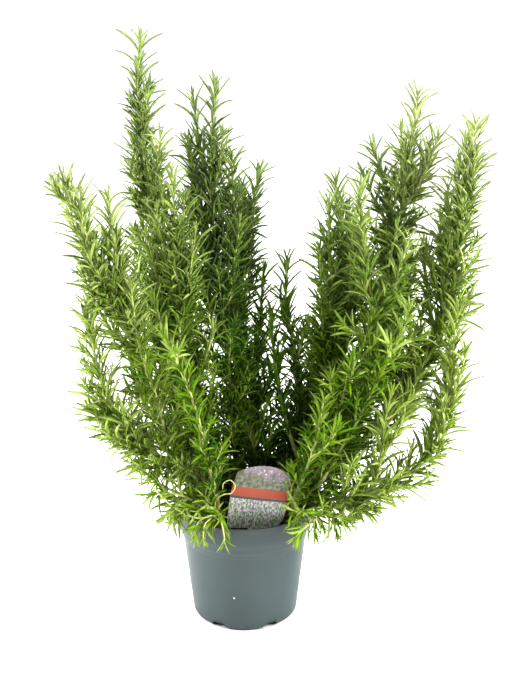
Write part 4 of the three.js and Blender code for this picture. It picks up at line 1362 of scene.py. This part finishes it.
def make_leaf_material():
    """Leathery leaves: a grooved green upper side and a pale underside between rolled edges, with
    painted shade on the edges and painted light on the leaves higher up.
    """
    look = Look("rosemary_leaf")
    tone, along, under, youth = look.attribute("Leaf")
    edge = look.span(under, -1.0, -0.1, 0.5, 0.0)
    under = look.maths("MAXIMUM", under, 0.0)
    patches = look.span(look.noise(45), 0.3, 0.7)
    mottle = look.noise(0.9, 3)
    value = look.weighted((youth, 0.62), (tone, 0.38), (patches, 0.2), (mottle, 0.1))
    colour = look.ramp(value, [(0.1, 0.014, 0.056, 0.004), (0.38, 0.056, 0.166, 0.004),
                               (0.66, 0.195, 0.335, 0.005), (1.0, 0.400, 0.500, 0.130)])
    # Painted light: leaves higher up are painted paler and greyer, as if lit by whitish light from all
    # round.
    height = look.split(look.places())[Z]
    colour = look.blend(look.span(height, 0.3, 0.55, 0.0, 0.4), colour, (0.38, 0.38, 0.27))
    # Painted shade: the rolled-under edges are painted dark, where shade falls in the curl.
    colour = look.blend(edge, colour, (0.02, 0.045, 0.01))
    root = look.span(along, 0.0, 0.2, 0.5, 0.0)
    colour = look.blend(root, colour, (0.26, 0.34, 0.05))
    dry_tip = look.span(along, 0.72, 1.0, 0.0, 0.75)
    colour = look.blend(dry_tip, colour, (0.10, 0.11, 0.06))
    felt = look.blend(look.noise(0.35), (0.10, 0.18, 0.010), (0.24, 0.34, 0.04))
    colour = look.blend(look.maths("MULTIPLY", under, 0.7), colour, felt)
    look.set("Base Color", colour)
    shine = look.span(mottle, 0.3, 0.7, 0.38, 0.5)
    look.set("Roughness", look.weighted((shine, 1.0), (under, 0.35)))
    look.set("Specular IOR Level", 0.08)
    look.bump(look.noise(0.3), 0.05)
    return look.material


def make_dry_leaf_material():
    look = Look("dry_leaf", Roughness=0.8)
    tone, along, _, _ = look.attribute("Leaf")
    value = look.weighted((tone, 0.4), (look.noise(1.5, 3), 0.6))
    colour = look.ramp(value, [(0.2, 0.06, 0.035, 0.015), (0.6, 0.16, 0.10, 0.045),
                               (0.9, 0.30, 0.21, 0.10)])
    dark_tip = look.span(along, 0.7, 1.0, 0.0, 0.5)
    look.set("Base Color", look.blend(dark_tip, colour, (0.05, 0.03, 0.015)))
    look.bump(look.noise(0.5), 0.08)
    return look.material


def make_bark_material():
    """Twigs go from downy green at the tip through tan to grey-brown, cracked bark."""
    look = Look("rosemary_bark")
    age, around_x, around_y, _ = look.attribute("Bark")
    run, tone, _, _ = look.attribute("Run")
    run = look.maths("MULTIPLY", run, 1000)
    long_drawn = look.combine(around_x, around_y, look.maths("MULTIPLY", run, 0.05))
    drawn = look.combine(around_x, around_y, look.maths("MULTIPLY", run, 0.12))
    streaks = look.noise(0.35, 3, long_drawn)
    cracks = look.noise(0.22, 4, drawn)
    patches = look.noise(14)
    value = look.weighted((age, 0.7), (look.span(patches, 0.3, 0.7), 0.22), (tone, 0.12),
                          (look.span(streaks, 0.3, 0.7), 0.12))
    colour = look.ramp(value, [(0.08, 0.42, 0.50, 0.15), (0.35, 0.58, 0.60, 0.24),
                               (0.6, 0.48, 0.46, 0.19), (0.85, 0.28, 0.21, 0.11),
                               (1.0, 0.15, 0.105, 0.065)])
    dark = look.span(cracks, 0.35, 0.55, 0.6, 1.0)
    dark = look.maths("MAXIMUM", dark, look.span(age, 0.3, 0.8, 1.0, 0.0))
    colour = look.blend(1.0, colour, look.combine(dark, dark, dark), "MULTIPLY")
    look.set("Base Color", colour)
    look.set("Roughness", look.span(age, 0, 1, 0.55, 0.9))
    look.bump(look.maths("MULTIPLY", cracks, look.span(age, 0.2, 0.9, 0.15, 1.0)), 0.5)
    return look.material


def make_soil_material():
    look = Look("potting_mix", Roughness=0.95)
    value = look.weighted((look.noise(7), 0.4), (look.noise(1.2, 4), 0.6))
    look.set("Base Color", look.ramp(value, [
        (0.3, 0.006, 0.004, 0.003), (0.5, 0.022, 0.014, 0.009), (0.72, 0.06, 0.038, 0.022)]))
    look.bump(look.noise(1.0, 5), 0.9)
    return look.material


def make_crumb_material():
    look = Look("peat_crumb", Roughness=0.93)
    kind, _, _, _ = look.attribute("Crumb")
    value = look.weighted((kind, 1.0), (look.noise(0.8, 3), 0.12))
    look.set("Base Color", look.ramp(value, [
        (0.0, 0.010, 0.006, 0.004), (0.5, 0.050, 0.030, 0.017), (0.8, 0.13, 0.08, 0.045),
        (0.93, 0.35, 0.30, 0.23), (1.0, 0.62, 0.60, 0.55)]))
    look.bump(look.noise(0.5, 4), 0.3)
    return look.material


def make_pot_material():
    """Satin moulded plastic, with faint flow marks, scuffs, a little dust near the rim, and painted
    shade: darker up to the rim, dusty at the foot and near-black inside the foot.
    """
    look = Look("pot_plastic")
    places = look.places()
    x, y, height = look.split(places)
    drawn = look.node("Mapping", {"Vector": places, "Scale": (1, 1, 0.12)}).outputs[0]
    flow = look.noise(9 * MM, 3, drawn)
    cloud = look.noise(38)
    base = look.blend(look.span(cloud, 0.3, 0.7), (0.034, 0.054, 0.056), (0.042, 0.063, 0.065))
    base = look.blend(look.span(flow, 0.45, 0.75, 0, 0.25), base, (0.049, 0.071, 0.073))
    scuffs = look.span(look.noise(0.7), 0.68, 0.74, 0, 0.35)
    base = look.blend(scuffs, base, (0.15, 0.18, 0.18))
    for place, radius, colour in POT_FLECKS:
        near = look.node("VectorMath", {0: places, 1: Vector(place) * MM}, operation="DISTANCE")
        fleck = look.span(near.outputs["Value"], radius * MM, radius * 1.4 * MM, 1, 0)
        base = look.blend(fleck, base, colour)
    # Painted shade: the wall darkens up to the rim, standing in for the shade of the leaves above.
    rim_painted_shade = look.span(height, *in_metres(PAINTED_SHADE_HEIGHTS), 0.0, 0.22)
    base = look.blend(rim_painted_shade, base, (0.012, 0.020, 0.021))
    # Painted shade in a dust colour, strongest at the foot, and real dust thickening near the rim.
    low = look.span(height, *in_metres(LOW_SHADE_AND_DUST), 0.35, 0.0)
    high = look.span(height, *in_metres(HIGH_DIRT), 0.0, 0.3)
    patches = look.span(look.noise(5, 4), 0.42, 0.62)
    dust_and_shade = look.maths("MULTIPLY", look.maths("ADD", low, high), patches)
    base = look.blend(dust_and_shade, base, (0.05, 0.04, 0.032))
    # Painted shade: the inside of the foot, under the pot, is painted near-black.
    base = look.blend(painted_foot_shade(look, x, y, height), base, (0.003, 0.003, 0.003))
    look.set("Base Color", base)
    shine = look.span(flow, 0.3, 0.7, 0.36, 0.46)
    look.set("Roughness", look.weighted((shine, 1.0), (dust_and_shade, 0.6)))
    look.bump(look.noise(0.35), 0.025)
    return look.material


def in_metres(values):
    return [value * MM for value in values]


def painted_foot_shade(look, x, y, height):
    """1 on the inside of the foot, where the shade under the pot is painted near-black to be seen
    through the notches, and 0 elsewhere.
    """
    radius = look.maths("SQRT", look.maths("ADD", look.maths("MULTIPLY", x, x),
                                           look.maths("MULTIPLY", y, y)))
    out, up = FOOT_SKIN
    skin = look.span(height, 0.0, up * MM, FOOT_RADIUS * MM, (FOOT_RADIUS + out) * MM)
    under = look.span(look.maths("SUBTRACT", skin, radius), *in_metres((1, 2)))
    low = look.span(height, *in_metres((FOOT_SHADE_TOP - 1, FOOT_SHADE_TOP)), 1.0, 0.0)
    return look.maths("MULTIPLY", under, low)


def make_label_material():
    """Generic print: small blossoms over soft greens above and below a bare orange band."""
    look = Look("label_print", Roughness=0.38)
    print_place = look.node("Attribute", {}, attribute_name="Print").outputs["Vector"]
    across, through, up = look.split(print_place)
    greens = look.ramp(look.noise(4.5, 5, print_place), [
        (0.35, 0.10, 0.11, 0.07), (0.5, 0.24, 0.27, 0.18), (0.66, 0.44, 0.46, 0.38)])
    rust = look.span(look.noise(10, 3, print_place), 0.5, 0.66, 0, 0.6)
    greens = look.blend(rust, greens, (0.34, 0.19, 0.15))
    spikes = look.node("Mapping", {"Vector": print_place, "Scale": (1, 1, 0.6)}).outputs[0]
    bloom = look.ramp(look.noise(1.7, 3, spikes), [
        (0.36, 0.24, 0.28, 0.22), (0.45, 0.48, 0.51, 0.45), (0.53, 0.80, 0.75, 0.81),
        (0.6, 1.0, 1.0, 1.0)])
    tint = look.ramp(look.noise(9, 2, print_place), [
        (0.38, 0.86, 1.0, 0.84), (0.5, 1.0, 1.0, 1.0), (0.62, 1.0, 0.88, 1.0)])
    bloom = look.blend(1.0, bloom, tint, "MULTIPLY")
    hues = look.span(look.noise(5, 2, print_place), 0.4, 0.6)
    petals = look.blend(hues, (0.42, 0.26, 0.46), (0.95, 0.88, 0.94))
    drift = look.weighted((up, 1.0), (across, 0.1), (look.noise(8, 3, print_place), 44.0))
    haze = look.span(drift, BLOSSOM_START, BLOSSOM_START + 10, 0, 0.6)
    greens = look.blend(haze, greens, (0.55, 0.42, 0.60))
    blossoms = look.maths("MULTIPLY", blossom_mask(look, print_place),
                          look.span(drift, BLOSSOM_START, BLOSSOM_START + 2))
    upper = look.blend(blossoms, greens, petals)
    ground = look.blend(look.span(up, BAND_BOTTOM, BAND_TOP), bloom, upper)
    line_bottom = BAND_BOTTOM - BAND_LINE
    line = look.maths("MULTIPLY", look.span(up, line_bottom, line_bottom + 0.4),
                      look.span(up, BAND_BOTTOM, BAND_BOTTOM + 0.3, 1, 0))
    ground = look.blend(line, ground, (0.12, 0.11, 0.11))
    band = look.maths("MULTIPLY", look.span(up, BAND_BOTTOM, BAND_BOTTOM + 0.3),
                      look.span(up, BAND_TOP - 0.3, BAND_TOP, 1, 0))
    ground = look.blend(band, ground, (0.62, 0.115, 0.055))
    stake = look.span(up, LABEL_STAKE_TOP + 1, LABEL_STAKE_TOP + 1.5, 1, 0)
    plain = look.maths("MAXIMUM", stake, look.span(through, 0.1, 0.3))
    look.set("Base Color", look.blend(plain, ground, (0.62, 0.62, 0.60)))
    look.bump(look.noise(1.2, 2, print_place), 0.03)
    return look.material


def blossom_mask(look, places):
    """Five-petalled blossoms, one in each cell of a loose lattice."""
    flat = look.node("VectorMath", {0: places, 1: (1, 0, 1)}, operation="MULTIPLY").outputs[0]
    cells = look.node("TexVoronoi", {"Vector": flat, "Scale": 1 / BLOSSOM_SPACING,
                                      "Randomness": 0.8})
    offset = look.node("VectorMath", {0: flat, 1: cells.outputs["Position"]},
                       operation="SUBTRACT").outputs[0]
    x, _, z = look.split(offset)
    turn = look.maths("ARCTAN2", z, x)
    petals = look.maths("COSINE", look.maths("MULTIPLY", turn, 5))
    reach = look.maths("MULTIPLY_ADD", petals, 0.13, 0.38)
    return look.span(look.maths("SUBTRACT", reach, cells.outputs["Distance"]), 0, 0.08)


def make_floor_material():
    look = Look("floor", Roughness=0.9)
    look.set("Base Color", (0.95, 0.95, 0.95, 1))
    look.set("Specular IOR Level", 0.0)
    return look.material


# ---- Stage, light and camera ----


def make_floor():
    half = FLOOR_SIZE / 2 * MM
    mesh = bpy.data.meshes.new("floor")
    corners = [(-half, -half, 0), (half, -half, 0), (half, half, 0), (-half, half, 0)]
    mesh.from_pydata(corners, [], [(0, 1, 2, 3)])
    plane = new_object("floor", mesh)
    plane.data.materials.append(make_floor_material())


def aimed(place, target):
    """An object's placing that looks from place to target, both in millimetres."""
    away = Vector(place) - Vector(target)
    turn = away.to_track_quat("Z", "Y").to_matrix().to_4x4()
    return Matrix.Translation(Vector(place) * MM) @ turn


def add_softbox(name, place, size, power):
    light = bpy.data.lights.new(name, "AREA")
    light.shape = "DISK"
    light.size = size * MM
    light.energy = power
    new_object(name, light).matrix_world = aimed(place, LIGHT_TARGET)


def make_surroundings():
    """A white room with a dim ceiling over the photographer, which darkens what faces it."""
    world = bpy.data.worlds.new("studio")
    bpy.context.scene.world = world
    world.use_nodes = True
    nodes = Nodes(world.node_tree)
    parts = nodes.split(nodes.node("TexCoord", {}).outputs["Generated"])
    to_front = nodes.span(parts[Y], *DIM_TO_FRONT)
    upward = nodes.span(parts[Z], *DIM_UPWARD)
    dim = nodes.maths("MULTIPLY", to_front, upward)
    background = world.node_tree.nodes["Background"].inputs
    nodes.plug(background["Strength"], nodes.span(dim, 0, 1, WORLD_STRENGTH, DIM_STRENGTH))
    nodes.plug(background["Color"], (1, 1, 1, 1))


def make_studio():
    make_surroundings()
    for name, light in LIGHTS.items():
        add_softbox(name, *light)
    camera = bpy.data.cameras.new("camera")
    camera.lens = CAMERA_LENS
    seat = new_object("camera", camera)
    seat.location = Vector(CAMERA_PLACE) * MM
    seat.rotation_euler = (math.radians(90 - CAMERA_PITCH), 0, 0)
    bpy.context.scene.camera = seat
    view = bpy.context.scene.view_settings
    view.view_transform = "Standard"
    view.gamma = TONE_GAMMA
    view.exposure = TONE_EXPOSURE


# ---- Assembly ----

leaf_material = make_leaf_material()
dry_leaf_material = make_dry_leaf_material()
bark_material = make_bark_material()
soil_material = make_soil_material()
crumb_material = make_crumb_material()
label_material = make_label_material()
make_studio()
make_floor()
pot = make_pot().build("nursery_pot", make_pot_material(), ["pot"], "pot")
cut_away(pot, notch_cutters())
make_soil().build("potting_soil", soil_material, ["soil"], "soil")
make_crumbs()
make_fallen_leaves()
make_label()
for number, name in enumerate(CROWNS):
    make_crown(name, FIRST_SEED + number)
for number, (name, stem) in enumerate(STEMS.items()):
    grow_stem(name, stem, STEM_SEED + number)
